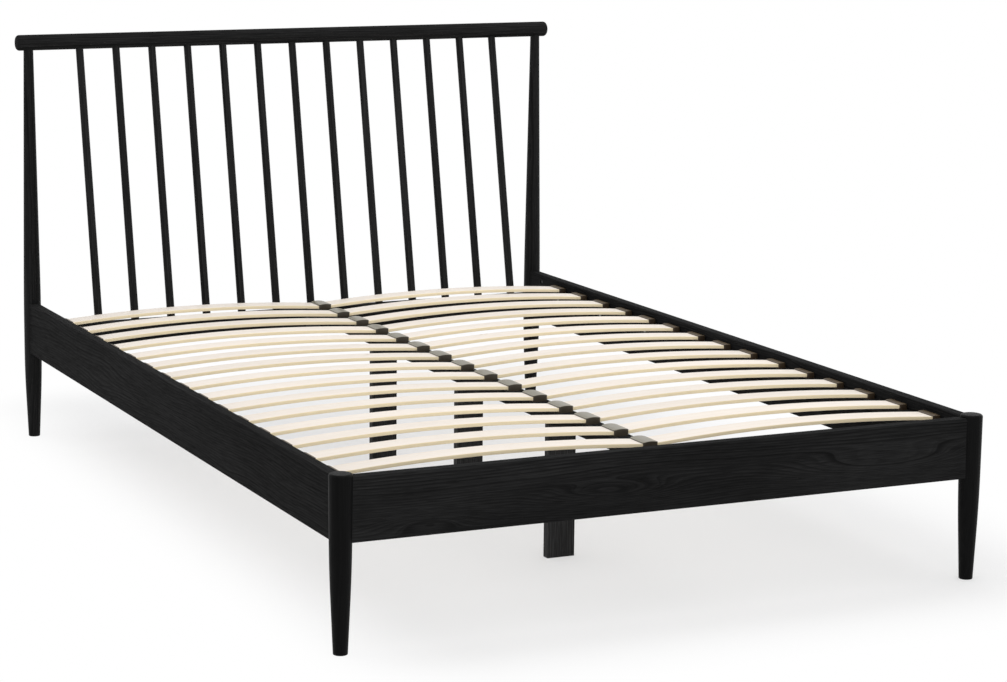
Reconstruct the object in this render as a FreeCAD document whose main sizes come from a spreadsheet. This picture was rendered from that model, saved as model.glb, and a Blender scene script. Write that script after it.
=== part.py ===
import FreeCAD, Part
import os
import re
import Sketcher

# A black-stained spindle bed for a 1350 x 1900 mm mattress.
#
# Frame: +Z up, the floor at z = 0, the origin in the middle of the footprint.
# The foot of the bed is at -Y, the headboard at +Y, the bed's left side at -X.
# Every size below is in millimetres, angles are in degrees.

Vector = FreeCAD.Vector
Rotation = FreeCAD.Rotation

SIZES = {
    # frame
    "leg_span_across": 1400.0,
    "leg_span_along": 2055.0,
    "floor_clearance": 215.0,
    "rail_height": 127.0,
    "rail_thickness": 25.0,
    "rail_edge_round": 2.5,
    "rail_seat": 17.5,
    "joint_gap": 0.1,
    # turned legs
    "foot_diameter": 28.5,
    "foot_chamfer": 1.5,
    "knee_height": 165.0,
    "knee_blend": 40.0,
    "leg_knee_diameter": 44.0,
    "leg_top_diameter": 46.5,
    "leg_height": 348.0,
    "leg_rim_chamfer": 2.5,
    # headboard posts
    "post_waist_diameter": 43.0,
    "post_shoulder_height": 352.0,
    "post_shoulder_blend": 30.0,
    "post_top_diameter": 24.0,
    "post_top_setback": 4.0,
    # headboard top rail
    "top_rail_diameter": 39.0,
    "top_rail_overhang": 31.5,
    "top_rail_axis_height": 997.0,
    "top_rail_end_round": 14.0,
    # spindles
    "spindle_count": 13,
    "spindle_spacing": 94.9,
    "spindle_rake": 11.4,
    "spindle_diameter": 19.0,
    "spindle_top_setback": 4.5,
    "spindle_foot_depth": 14.0,
    "socket_end_gap": 0.5,
    # lower headboard rail
    "lower_rail_drop": 9.5,
    "lower_rail_height": 60.0,
    "lower_rail_thickness": 25.0,
    "lower_rail_edge_round": 1.5,
    # slats
    "slat_count": 15,
    "slat_pitch": 123.7,
    "first_slat_offset": 115.0,
    "slat_width": 53.0,
    "slat_thickness": 8.0,
    "slat_crown": 15.0,
    "slat_seat_height": 317.0,
    # slat caps
    "side_cap_length": 22.0,
    "centre_cap_length": 36.0,
    "cap_floor": 1.2,
    "cap_roof": 1.1,
    "cap_wall": 2.0,
    "centre_cap_dome": 2.5,
    "side_cap_dome": 0.8,
    "cap_slot_play": 1.9,
    "cap_side_play": 0.5,
    "cap_end_gap": 0.5,
    # slat bearers on the side rails
    "bearer_width": 25.0,
    "bearer_height": 35.0,
    "bearer_foot_gap": 45.0,
    "bearer_head_gap": 3.0,
    # centre beam and its legs
    "beam_width": 44.0,
    "beam_height": 28.0,
    "centre_leg_width": 64.0,
    "centre_leg_thickness": 20.0,
    "centre_leg_edge_chamfer": 0.8,
    "foot_support_offset": 484.0,
    "middle_support_offset": 947.0,
    "head_support_offset": 1441.0,
    # bolts and barrel nuts that hold the side rails to the posts
    "bolt_diameter": 8.0,
    "bolt_play": 0.5,
    "bolt_edge_inset": 18.4,
    "bolt_head_diameter": 13.0,
    "bolt_head_height": 6.0,
    "bolt_head_seat": 14.5,
    "bolt_tail": 9.0,
    "bolt_key_width": 6.0,
    "bolt_key_depth": 3.5,
    "barrel_nut_diameter": 14.0,
    "barrel_nut_length": 18.0,
    "barrel_nut_reach": 82.0,
    # bolts that draw the front legs against the corner plates
    "leg_bolt_diameter": 6.0,
    "leg_bolt_play": 0.5,
    "leg_bolt_depth": 16.0,
    "leg_bolt_head_width": 10.0,
    "leg_bolt_head_height": 4.0,
    # steel plates
    "plate_thickness": 3.0,
    "plate_hole_diameter": 6.5,
    "corner_plate_flange": 36.0,
    "corner_plate_bridge": 22.0,
    "corner_plate_rise": 8.0,
    "corner_plate_clearance": 1.0,
    "beam_plate_seat": 40.0,
    "beam_plate_drop": 32.0,
    "beam_plate_width": 38.0,
    "beam_plate_hole_drop": 19.0,
    "beam_plate_hole_reach": 24.0,
    "rail_plate_flange": 30.0,
    "rail_plate_height": 44.0,
    "rail_plate_hole_reach": 18.0,
}

LEFT = -1
RIGHT = 1

# Places that several pieces share, written in terms of the sizes above.
HALF_ACROSS = "(leg_span_across / 2)"
HALF_ALONG = "(leg_span_along / 2)"
RAIL_TOP = "(floor_clearance + rail_height)"
RAIL_INNER = "(leg_span_across / 2 - rail_thickness / 2)"
FOOT_RAIL_INNER = "(-leg_span_along / 2 + rail_thickness / 2)"
SIDE_RAIL_LENGTH = "(leg_span_along - 2 * rail_seat)"
FOOT_RAIL_LENGTH = "(leg_span_across - 2 * rail_seat)"
TOP_RAIL_RADIUS = "(top_rail_diameter / 2)"
TOP_RAIL_HALF = "(leg_span_across / 2 + top_rail_overhang)"
LOWER_RAIL_TOP = "(slat_seat_height - lower_rail_drop)"
LOWER_RAIL_Y = (
    f"(leg_span_along / 2 - (top_rail_axis_height - {LOWER_RAIL_TOP}"
    " + spindle_foot_depth / 2) * tan(spindle_rake * 1 deg))"
)
LOWER_RAIL_FRONT = "(" + LOWER_RAIL_Y + " - lower_rail_thickness / 2)"
LOWER_RAIL_BACK = "(" + LOWER_RAIL_Y + " + lower_rail_thickness / 2)"
SPINDLE_REACH = (
    f"((top_rail_axis_height - {LOWER_RAIL_TOP}) / cos(spindle_rake * 1 deg)"
    " + spindle_foot_depth)"
)
FIRST_SPINDLE_X = "(-(spindle_count - 1) / 2 * spindle_spacing)"
FIRST_SLAT_Y = "(-leg_span_along / 2 + first_slat_offset)"
CAP_WIDTH = "(slat_width + 2 * (cap_side_play + cap_wall))"
CAP_HEIGHT = "(cap_floor + slat_thickness + cap_slot_play + cap_roof)"
CAP_CENTRE_X = "(leg_span_across / 2 - rail_thickness / 2 - bearer_width / 2)"
SLAT_INNER_X = "(cap_wall + cap_end_gap)"
SLAT_OUTER_X = "(" + CAP_CENTRE_X + " + side_cap_length / 2 - cap_wall - cap_end_gap)"
SLAT_SPAN = "(" + SLAT_OUTER_X + " - " + SLAT_INNER_X + ")"
BOLT_RISE = "(rail_height - 2 * bolt_edge_inset)"
# the bridge of a corner plate, measured from the leg's axis along the diagonal
PLATE_BRIDGE = "((rail_thickness + corner_plate_bridge) / sqrt(2))"
LEG_BOLT_START = "(leg_top_diameter / 2 - leg_bolt_depth)"
# a corner plate stands between the foot of the rails and the underside of a slat bearer
CORNER_PLATE_FOOT = "(floor_clearance + corner_plate_rise)"
CORNER_PLATE_HEIGHT = (
    f"(slat_seat_height - bearer_height - corner_plate_clearance - {CORNER_PLATE_FOOT})"
)
CORNER_PLATE_MIDDLE = f"({CORNER_PLATE_FOOT} + {CORNER_PLATE_HEIGHT} / 2)"

document = FreeCAD.newDocument("SpindleBed")
sheet = document.addObject("Spreadsheet::Sheet", "Sizes")


def fill_sheet():
    """Writes each size and its name into the sheet."""
    for row, (name, size) in enumerate(SIZES.items(), start=1):
        sheet.set(f"A{row}", name)
        sheet.set(f"B{row}", str(size))
        sheet.setAlias(f"B{row}", name)
    document.recompute()


def sized(text):
    """Turns bare size names into references to the sheet."""
    return re.sub(r"[a-z]+(?:_[a-z]+)+", lambda word: "Sizes." + word.group(), str(text))


def value(text):
    """Works out an expression of sizes as a number."""
    return float(sheet.evalExpression(sized(text)))


def bind(item, **properties):
    """Ties properties of an object to expressions of sizes."""
    for name, text in properties.items():
        item.setExpression(name, sized(text))


def place(item, x="0", y="0", z="0"):
    """Ties the position of an object to expressions of sizes."""
    for axis, text in (("x", x), ("y", y), ("z", z)):
        item.setExpression("Placement.Base." + axis, sized(text))


def new_body(name):
    body = document.addObject("PartDesign::Body", name)
    body.Label = name
    return body


def origin_feature(body, role):
    return next(item for item in body.Origin.OriginFeatures if item.Role == role)


def new_sketch(body, name, role):
    sketch = body.newObject("Sketcher::SketchObject", name)
    sketch.AttachmentSupport = [(origin_feature(body, role), "")]
    sketch.MapMode = "FlatFace"
    return sketch


def hold_point(sketch, geometry, end, across, up):
    """Ties one end of an edge to a place in the sketch. None leaves a coordinate free."""
    for text, kind, axis in ((across, "DistanceX", -2), (up, "DistanceY", -1)):
        if text is None:
            continue
        if text == "0":
            sketch.addConstraint(Sketcher.Constraint("PointOnObject", geometry, end, axis))
            continue
        index = sketch.addConstraint(
            Sketcher.Constraint(kind, -1, 1, geometry, end, value(text)))
        sketch.setExpression(f"Constraints[{index}]", sized(text))


class Arc:
    """An edge that bows outward by about the sagitta, seen on an anticlockwise outline.

    Without a radius it runs tangent into the edges on both sides.
    """

    def __init__(self, sagitta, radius=None):
        self.sagitta = sagitta
        self.radius = radius


class Free:
    """A corner coordinate that the tangent arcs settle, with a first guess."""

    def __init__(self, guess):
        self.guess = guess


def closed_outline(sketch, corners, arcs=None):
    """Draws an anticlockwise outline whose corners follow the sizes.

    Each corner is a pair of expressions. The arcs give the edges that aren't straight,
    each under the number of the corner that it starts from.
    """
    arcs = arcs or {}
    spots = []
    for corner in corners:
        numbers = [value(text.guess if isinstance(text, Free) else text) for text in corner]
        spots.append(Vector(numbers[0], numbers[1], 0))
    edges = []
    for number, start in enumerate(spots):
        end = spots[(number + 1) % len(spots)]
        arc = arcs.get(number)
        if arc is None:
            edges.append((sketch.addGeometry(Part.LineSegment(start, end)), 1, 2))
            continue
        run = end - start
        outward = Vector(run.y, -run.x, 0).normalize()
        middle = (start + end) * 0.5 + outward * value(arc.sagitta)
        geometry = sketch.addGeometry(Part.Arc(start, middle, end))
        turned = sketch.getPoint(geometry, 1).distanceToPoint(start) > 1e-6
        edges.append((geometry, 2, 1) if turned else (geometry, 1, 2))
    for number, (geometry, first, last) in enumerate(edges):
        following = (number + 1) % len(edges)
        next_geometry, next_first, next_last = edges[following]
        smooth = any(arcs.get(place) and arcs[place].radius is None
                     for place in (number, following))
        kind = "Tangent" if smooth else "Coincident"
        sketch.addConstraint(Sketcher.Constraint(kind, geometry, last, next_geometry, next_first))
    for number, corner in enumerate(corners):
        across, up = (None if isinstance(text, Free) else text for text in corner)
        hold_point(sketch, edges[number][0], edges[number][1], across, up)
    for number, arc in arcs.items():
        if arc.radius is not None:
            index = sketch.addConstraint(
                Sketcher.Constraint("Radius", edges[number][0], value(arc.radius)))
            sketch.setExpression(f"Constraints[{index}]", sized(arc.radius))


def rectangle(left, bottom, right, top):
    return [(left, bottom), (right, bottom), (right, top), (left, top)]


def pad(body, name, sketch, length, symmetric=True):
    feature = body.newObject("PartDesign::Pad", name)
    feature.Profile = sketch
    feature.SideType = "Symmetric" if symmetric else "One side"
    bind(feature, Length=length)
    return feature


def revolve(body, name, sketch, axis="V_Axis"):
    feature = body.newObject("PartDesign::Revolution", name)
    feature.Profile = sketch
    feature.ReferenceAxis = (sketch, [axis])
    feature.Angle = 360
    return feature


def box_feature(body, name, corner, size, kind="Subtractive"):
    """Adds or removes a block given by its lowest corner and its three sides."""
    feature = body.newObject(f"PartDesign::{kind}Box", name)
    bind(feature, Length=size[0], Width=size[1], Height=size[2])
    place(feature, *corner)
    return feature


TURNS = {
    "x": Rotation(Vector(0, 1, 0), 90),
    "y": Rotation(Vector(1, 0, 0), -90),
    "z": Rotation(),
}


def cylinder_feature(body, name, base, along, diameter, length, kind="Subtractive"):
    """Adds or removes a cylinder that starts at base and runs up one axis."""
    feature = body.newObject(f"PartDesign::{kind}Cylinder", name)
    feature.Placement = FreeCAD.Placement(Vector(), TURNS[along])
    bind(feature, Radius=f"({diameter}) / 2", Height=length)
    place(feature, *base)
    return feature


def rake(item):
    """Leans an object back by the spindles' slope."""
    item.Placement = FreeCAD.Placement(Vector(), Rotation(Vector(-1, 0, 0), 1))
    item.setExpression("Placement.Rotation.Angle", sized("spindle_rake * 1 deg"))


def cut_spindle_sockets(body, along, below, length):
    """Drills the row of raked sockets.

    Each starts a way below the body's origin, at a place along the rail, and runs up the slope.
    """
    socket = body.newObject("PartDesign::SubtractiveCylinder", "spindle_socket")
    rake(socket)
    bind(socket, Radius="spindle_diameter / 2 + joint_gap", Height=length)
    place(socket, FIRST_SPINDLE_X, along, below)
    repeat(body, "spindle_sockets", "X_Axis", "spindle_spacing", "spindle_count", [socket])


def repeat(body, name, along, spacing, count, features=None):
    """Repeats some features, or the whole shape so far, in a row."""
    pattern = body.newObject("PartDesign::LinearPattern", name)
    if features:
        pattern.Originals = features
    else:
        pattern.TransformMode = "Whole shape"
    pattern.Direction = (origin_feature(body, along), [""])
    pattern.Mode = "Spacing"
    bind(pattern, Offset=spacing, Occurrences=count)
    body.Tip = pattern
    return pattern


def four_corners(body, name, features):
    """Repeats some features at both bolt heights and on both sides of the bed."""
    corners = body.newObject("PartDesign::MultiTransform", name)
    corners.Originals = features
    heights = body.newObject("PartDesign::LinearPattern", "both_heights")
    heights.Direction = (origin_feature(body, "Z_Axis"), [""])
    heights.Mode = "Spacing"
    bind(heights, Offset=BOLT_RISE, Occurrences="2")
    sides = body.newObject("PartDesign::Mirrored", "both_sides")
    sides.MirrorPlane = (origin_feature(body, "YZ_Plane"), [""])
    corners.Transformations = [heights, sides]
    body.Tip = corners


def long_edges(body, direction, length):
    """Names the straight edges of the given length that run one way."""
    document.recompute()
    names = []
    for number, edge in enumerate(body.Shape.Edges, start=1):
        if abs(edge.Length - length) > 0.01 or not isinstance(edge.Curve, Part.Line):
            continue
        if abs(edge.tangentAt(edge.FirstParameter).dot(direction)) > 0.999:
            names.append(f"Edge{number}")
    return names


def dress(body, name, kind, edges, size):
    """Rounds or chamfers the named edges of the body's newest feature."""
    shape_so_far = body.Tip
    feature = body.newObject(f"PartDesign::{kind}", name)
    feature.Base = (shape_so_far, edges)
    if kind == "Fillet":
        bind(feature, Radius=size)
    else:
        bind(feature, Size=size)
    return feature


def side_name(side):
    return "left" if side == LEFT else "right"


def signed(side, text):
    return f"{side} * ({text})"


# Turned legs and posts


def lower_leg_outline(knee_diameter):
    """The foot, the taper and the bend into the knee, up to where the bend ends."""
    return [
        ("0", "0"),
        ("foot_diameter / 2 - foot_chamfer", "0"),
        ("foot_diameter / 2", "foot_chamfer"),
        (
            Free(f"{knee_diameter} / 2 - ({knee_diameter} - foot_diameter) / 2"
                 " * knee_blend / knee_height"),
            "knee_height - knee_blend",
        ),
        (f"{knee_diameter} / 2", "knee_height + knee_blend"),
    ]


# the first guess at how far a gentle bend bows out, over the length of its chord
GENTLE_BOW = 0.01
KNEE_BEND = {3: Arc(f"2 * knee_blend * {GENTLE_BOW}")}


def cut_rail_housing(body, name, along, side):
    """Cuts the slot in a leg that takes the end of a rail."""
    reach = "leg_top_diameter"
    width = "(rail_thickness + 2 * joint_gap)"
    near = "rail_seat" if side > 0 else f"(-rail_seat - {reach})"
    low = "(floor_clearance - joint_gap)"
    height = "(rail_height + 2 * joint_gap)"
    if along == "x":
        return box_feature(body, name, (near, f"-{width} / 2", low), (reach, width, height))
    return box_feature(body, name, (f"-{width} / 2", near, low), (width, reach, height))


def diagonal_turn(side):
    """Turns the Z axis to point from a front corner in towards the bed's middle."""
    return Rotation(Vector(0, 0, 1), 45 if side == LEFT else 135) * Rotation(Vector(0, 1, 0), 90)


def make_front_leg(side):
    body = new_body("front_leg_" + side_name(side))
    sketch = new_sketch(body, "leg_outline", "XZ_Plane")
    corners = lower_leg_outline("leg_knee_diameter") + [
        ("leg_top_diameter / 2", "leg_height - leg_rim_chamfer"),
        ("leg_top_diameter / 2 - leg_rim_chamfer", "leg_height"),
        ("0", "leg_height"),
    ]
    closed_outline(sketch, corners, KNEE_BEND)
    revolve(body, "leg_turning", sketch)
    cut_rail_housing(body, "foot_rail_housing", "x", -side)
    cut_rail_housing(body, "side_rail_housing", "y", RIGHT)
    pilot = body.newObject("PartDesign::SubtractiveCylinder", "leg_bolt_hole")
    pilot.Placement = FreeCAD.Placement(Vector(), diagonal_turn(side))
    bind(pilot, Radius="leg_bolt_diameter / 2 + joint_gap", Height="leg_top_diameter")
    start = f"({LEG_BOLT_START} - socket_end_gap) / sqrt(2)"
    place(pilot, signed(-side, start), start, CORNER_PLATE_MIDDLE)
    place(body, signed(side, HALF_ACROSS), f"-{HALF_ALONG}", "0")


def bolt_heights():
    return ("floor_clearance + bolt_edge_inset", f"{RAIL_TOP} - bolt_edge_inset")


def make_headboard_post(side):
    body = new_body("headboard_post_" + side_name(side))
    sketch = new_sketch(body, "post_outline", "XZ_Plane")
    underside = f"top_rail_axis_height - {TOP_RAIL_RADIUS}"
    corners = lower_leg_outline("post_waist_diameter") + [
        ("post_waist_diameter / 2", "post_shoulder_height - post_shoulder_blend"),
        (
            Free("post_waist_diameter / 2 - (post_waist_diameter - post_top_diameter) / 2"
                 " * post_shoulder_blend / (top_rail_axis_height - post_shoulder_height)"),
            "post_shoulder_height + post_shoulder_blend",
        ),
        ("post_top_diameter / 2", underside),
        ("post_top_diameter / 2", "top_rail_axis_height - post_top_setback"),
        ("0", "top_rail_axis_height - post_top_setback"),
    ]
    shoulder = {5: Arc(f"2 * post_shoulder_blend * {GENTLE_BOW}")}
    closed_outline(sketch, corners, {**KNEE_BEND, **shoulder})
    revolve(body, "post_turning", sketch)
    cut_rail_housing(body, "side_rail_housing", "y", LEFT)
    shank = "bolt_diameter + bolt_play"
    for level, height in zip(("low", "high"), bolt_heights()):
        cylinder_feature(body, f"bolt_hole_{level}", ("0", "-rail_seat", height), "y",
                         shank, "rail_seat + bolt_head_seat")
        cylinder_feature(body, f"head_counterbore_{level}", ("0", "bolt_head_seat", height), "y",
                         "bolt_head_diameter + 2 * bolt_play", "post_waist_diameter / 2")
    place(body, signed(side, HALF_ACROSS), HALF_ALONG, "0")


# Rails


def make_plank(name, along, length, thickness, height, edge_round):
    """A rail centred on its own origin lengthwise, with its lower edge at z = 0."""
    body = new_body(name)
    role = "YZ_Plane" if along == "x" else "XZ_Plane"
    sketch = new_sketch(body, "plank_section", role)
    closed_outline(sketch, rectangle(f"-{thickness} / 2", "0", f"{thickness} / 2", height))
    pad(body, "plank", sketch, length)
    direction = Vector(1, 0, 0) if along == "x" else Vector(0, 1, 0)
    edges = long_edges(body, direction, value(length))
    dress(body, "eased_edges", "Fillet", edges, edge_round)
    return body


def make_foot_rail():
    body = make_plank("foot_rail", "x", FOOT_RAIL_LENGTH, "rail_thickness", "rail_height",
                      "rail_edge_round")
    place(body, "0", f"-{HALF_ALONG}", "floor_clearance")


def make_side_rail(side):
    body = make_plank("side_rail_" + side_name(side), "y", SIDE_RAIL_LENGTH, "rail_thickness",
                      "rail_height", "rail_edge_round")
    half = f"{SIDE_RAIL_LENGTH} / 2"
    nut_centre = f"{HALF_ALONG} - barrel_nut_reach"
    bolt_depth = "(barrel_nut_reach - rail_seat + bolt_tail + socket_end_gap)"
    pocket_depth = "(rail_thickness / 2 + barrel_nut_length / 2)"
    inner_x = f"-{side} * rail_thickness / 2"
    nut_x = inner_x if side == RIGHT else f"{inner_x} - {pocket_depth}"
    for level, height in (("low", "bolt_edge_inset"), ("high", "rail_height - bolt_edge_inset")):
        cylinder_feature(body, f"bolt_hole_{level}", ("0", f"{half} - {bolt_depth}", height), "y",
                         "bolt_diameter + bolt_play", bolt_depth)
        cylinder_feature(body, f"barrel_nut_hole_{level}", (nut_x, nut_centre, height), "x",
                         "barrel_nut_diameter + bolt_play", pocket_depth)
    place(body, signed(side, HALF_ACROSS), "0", "floor_clearance")


# Headboard


def make_top_rail():
    """A round rail with rounded ends, drilled from below for the spindles and the posts."""
    body = new_body("top_rail")
    sketch = new_sketch(body, "rail_outline", "XZ_Plane")
    flat_end = f"{TOP_RAIL_RADIUS} - top_rail_end_round"
    corners = [
        ("0", f"-{TOP_RAIL_HALF}"),
        (flat_end, f"-{TOP_RAIL_HALF}"),
        (TOP_RAIL_RADIUS, f"-{TOP_RAIL_HALF} + top_rail_end_round"),
        (TOP_RAIL_RADIUS, f"{TOP_RAIL_HALF} - top_rail_end_round"),
        (flat_end, TOP_RAIL_HALF),
        ("0", TOP_RAIL_HALF),
    ]
    rounded = Arc("top_rail_end_round * (1 - 1 / sqrt(2))", "top_rail_end_round")
    closed_outline(sketch, corners, {1: rounded, 3: rounded})
    sketch.AttachmentOffset = FreeCAD.Placement(Vector(), Rotation(Vector(0, 0, 1), 90))
    revolve(body, "rail_turning", sketch)
    post_socket = "post_top_diameter + 2 * joint_gap"
    post_depth = f"{TOP_RAIL_RADIUS} - post_top_setback + socket_end_gap"
    for side in (LEFT, RIGHT):
        base = (signed(side, HALF_ACROSS), "0", f"-{TOP_RAIL_RADIUS}")
        cylinder_feature(body, f"post_socket_{side_name(side)}", base, "z", post_socket, post_depth)
    start = "top_rail_diameter"
    cut_spindle_sockets(body, f"-{start} * sin(spindle_rake * 1 deg)",
                        f"-{start} * cos(spindle_rake * 1 deg)",
                        f"{start} - spindle_top_setback + socket_end_gap")
    place(body, "0", HALF_ALONG, "top_rail_axis_height")


def make_lower_headboard_rail():
    """The rail between the side rails that takes the feet of the spindles."""
    length = f"2 * {RAIL_INNER}"
    body = make_plank("lower_headboard_rail", "x", length, "lower_rail_thickness",
                      "lower_rail_height", "lower_rail_edge_round")
    depth = "(spindle_foot_depth + socket_end_gap)"
    entry_y = "spindle_foot_depth / 2 * tan(spindle_rake * 1 deg)"
    cut_spindle_sockets(body, f"{entry_y} - {depth} * sin(spindle_rake * 1 deg)",
                        f"lower_rail_height - {depth} * cos(spindle_rake * 1 deg)",
                        "2 * spindle_foot_depth")
    place(body, "0", LOWER_RAIL_Y, f"{LOWER_RAIL_TOP} - lower_rail_height")


def make_spindle(number):
    """One raked spindle, let into both rails, with its origin on the top rail's axis."""
    body = new_body(f"spindle_{number + 1:02d}")
    cylinder_feature(body, "rod", ("0", "0", f"-{SPINDLE_REACH}"), "z", "spindle_diameter",
                     f"{SPINDLE_REACH} - spindle_top_setback", "Additive")
    rake(body)
    place(body, f"{FIRST_SPINDLE_X} + {number} * spindle_spacing", HALF_ALONG,
          "top_rail_axis_height")


# Slats, their caps and what carries them


def make_slat_pair(number):
    """The left and the right sprung slat of one row, bowed upward between their caps."""
    body = new_body(f"slat_pair_{number + 1:02d}")
    sketch = new_sketch(body, "slat_outlines", "XZ_Plane")
    radius = f"({SLAT_SPAN} * {SLAT_SPAN} / (8 * slat_crown) + slat_crown / 2)"
    bow = {0: Arc("-slat_crown", radius), 2: Arc("slat_crown", radius)}
    ends = [(SLAT_INNER_X, SLAT_OUTER_X), (f"-{SLAT_OUTER_X}", f"-{SLAT_INNER_X}")]
    for near, far in ends:
        closed_outline(sketch, rectangle(near, "cap_floor", far, "cap_floor + slat_thickness"), bow)
    pad(body, "slats", sketch, "slat_width")
    place(body, "0", f"{FIRST_SLAT_Y} + {number} * slat_pitch", "slat_seat_height")


def cap_outline(half_length, dome):
    """The end view of a cap: straight sides under a low dome."""
    corners = rectangle(f"-{half_length}", "0", half_length, CAP_HEIGHT)
    radius = f"({half_length} * {half_length} / (2 * {dome}) + {dome} / 2)"
    return corners, {2: Arc(dome, radius)}


def make_cap_row(name, half_length, dome, mouths, centre_x):
    """A row of plastic caps under low domes, each open where a slat goes in."""
    body = new_body(name)
    sketch = new_sketch(body, "cap_outline", "XZ_Plane")
    closed_outline(sketch, *cap_outline(half_length, dome))
    pad(body, "cap_block", sketch, CAP_WIDTH)
    slot_width = "(slat_width + 2 * cap_side_play)"
    for slot_name, near, length in mouths:
        box_feature(body, slot_name, (near, f"-{slot_width} / 2", "cap_floor"),
                    (length, slot_width, "slat_thickness + cap_slot_play"))
    repeat(body, "cap_row", "Y_Axis", "slat_pitch", "slat_count")
    place(body, centre_x, FIRST_SLAT_Y, "slat_seat_height")


def make_side_caps(side):
    half = "side_cap_length / 2"
    near = f"-{half} - cap_wall" if side == RIGHT else f"-{half} + cap_wall"
    make_cap_row("side_caps_" + side_name(side), f"({half})", "side_cap_dome",
                 [("slat_slot", near, "side_cap_length")], signed(side, CAP_CENTRE_X))


def make_centre_caps():
    half = "centre_cap_length / 2"
    mouths = [
        ("left_slot", f"-{half} - cap_wall", half),
        ("right_slot", "cap_wall", half),
    ]
    make_cap_row("centre_caps", f"({half})", "centre_cap_dome", mouths, "0")


def make_slat_bearer(side):
    body = new_body("slat_bearer_" + side_name(side))
    foot_end = f"({FOOT_RAIL_INNER} + bearer_foot_gap)"
    length = f"{LOWER_RAIL_FRONT} - bearer_head_gap - {foot_end}"
    box_feature(body, "bearer", ("-bearer_width / 2", foot_end, "0"),
                ("bearer_width", length, "bearer_height"), "Additive")
    place(body, signed(side, CAP_CENTRE_X), "0", "slat_seat_height - bearer_height")


def make_centre_beam():
    body = new_body("centre_beam")
    box_feature(body, "beam", ("-beam_width / 2", FOOT_RAIL_INNER, "0"),
                ("beam_width", f"{LOWER_RAIL_FRONT} - {FOOT_RAIL_INNER}", "beam_height"),
                "Additive")
    place(body, "0", "0", "slat_seat_height - beam_height")


def make_centre_leg(name, offset):
    """A plank leg that stands under the beam, its broad side across the bed."""
    body = new_body(name)
    sketch = new_sketch(body, "leg_section", "XY_Plane")
    half_width = "centre_leg_width / 2"
    half_depth = "centre_leg_thickness / 2"
    section = rectangle(f"-{half_width}", f"-{half_depth}", half_width, half_depth)
    closed_outline(sketch, section)
    height = "slat_seat_height - beam_height"
    pad(body, "leg", sketch, height, symmetric=False)
    edges = long_edges(body, Vector(0, 0, 1), value(height))
    dress(body, "eased_edges", "Chamfer", edges, "centre_leg_edge_chamfer")
    place(body, "0", f"-{HALF_ALONG} + {offset}", "0")


# Hardware


def make_post_bolts():
    """Four socket head bolts, from the back of the posts into the side rails."""
    body = new_body("post_bolts")
    sketch = new_sketch(body, "bolt_outline", "XY_Plane")
    reach = "(bolt_head_seat + barrel_nut_reach + bolt_tail)"
    outline = [
        ("0", f"-{reach}"),
        ("bolt_diameter / 2", f"-{reach}"),
        ("bolt_diameter / 2", "0"),
        ("bolt_head_diameter / 2", "0"),
        ("bolt_head_diameter / 2", "bolt_head_height"),
        ("0", "bolt_head_height"),
    ]
    closed_outline(sketch, outline)
    sketch.setExpression("AttachmentOffset.Base.x", sized(f"-{HALF_ACROSS}"))
    bolt = revolve(body, "bolt_turning", sketch)
    key = body.newObject("PartDesign::SubtractivePrism", "key_socket")
    key.Polygon = 6
    key.Placement = FreeCAD.Placement(Vector(), TURNS["y"])
    bind(key, Circumradius="bolt_key_width / sqrt(3)", Height="bolt_key_depth")
    place(key, f"-{HALF_ACROSS}", "bolt_head_height - bolt_key_depth", "0")
    four_corners(body, "four_bolts", [bolt, key])
    place(body, "0", f"{HALF_ALONG} + bolt_head_seat", "floor_clearance + bolt_edge_inset")


def make_barrel_nuts():
    """Four cross-drilled barrel nuts, seen as dark discs on the side rails' inner faces."""
    body = new_body("barrel_nuts")
    sketch = new_sketch(body, "barrel_outline", "XY_Plane")
    half = "barrel_nut_length / 2"
    closed_outline(sketch, rectangle(f"-{half}", "0", half, "barrel_nut_diameter / 2"))
    sketch.setExpression("AttachmentOffset.Base.x", sized(f"-{HALF_ACROSS}"))
    barrel = revolve(body, "barrel", sketch, "H_Axis")
    hole = cylinder_feature(body, "bolt_hole", (f"-{HALF_ACROSS}", "-barrel_nut_diameter", "0"),
                            "y", "bolt_diameter + 2 * joint_gap", "2 * barrel_nut_diameter")
    four_corners(body, "four_nuts", [barrel, hole])
    place(body, "0", f"{HALF_ALONG} - barrel_nut_reach", "floor_clearance + bolt_edge_inset")


def make_leg_bolt(side):
    """A hexagon head bolt from inside a corner plate, through its bridge, into the leg."""
    body = new_body("leg_bolt_" + side_name(side))
    seat = f"({PLATE_BRIDGE} + plate_thickness)"
    cylinder_feature(body, "shank", ("0", "0", LEG_BOLT_START), "z", "leg_bolt_diameter",
                     f"{seat} - {LEG_BOLT_START}", "Additive")
    head = body.newObject("PartDesign::AdditivePrism", "head")
    head.Polygon = 6
    bind(head, Circumradius="leg_bolt_head_width / sqrt(3)", Height="leg_bolt_head_height")
    place(head, "0", "0", seat)
    body.Placement = FreeCAD.Placement(Vector(), diagonal_turn(side))
    place(body, signed(side, HALF_ACROSS), f"-{HALF_ALONG}", CORNER_PLATE_MIDDLE)


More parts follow.
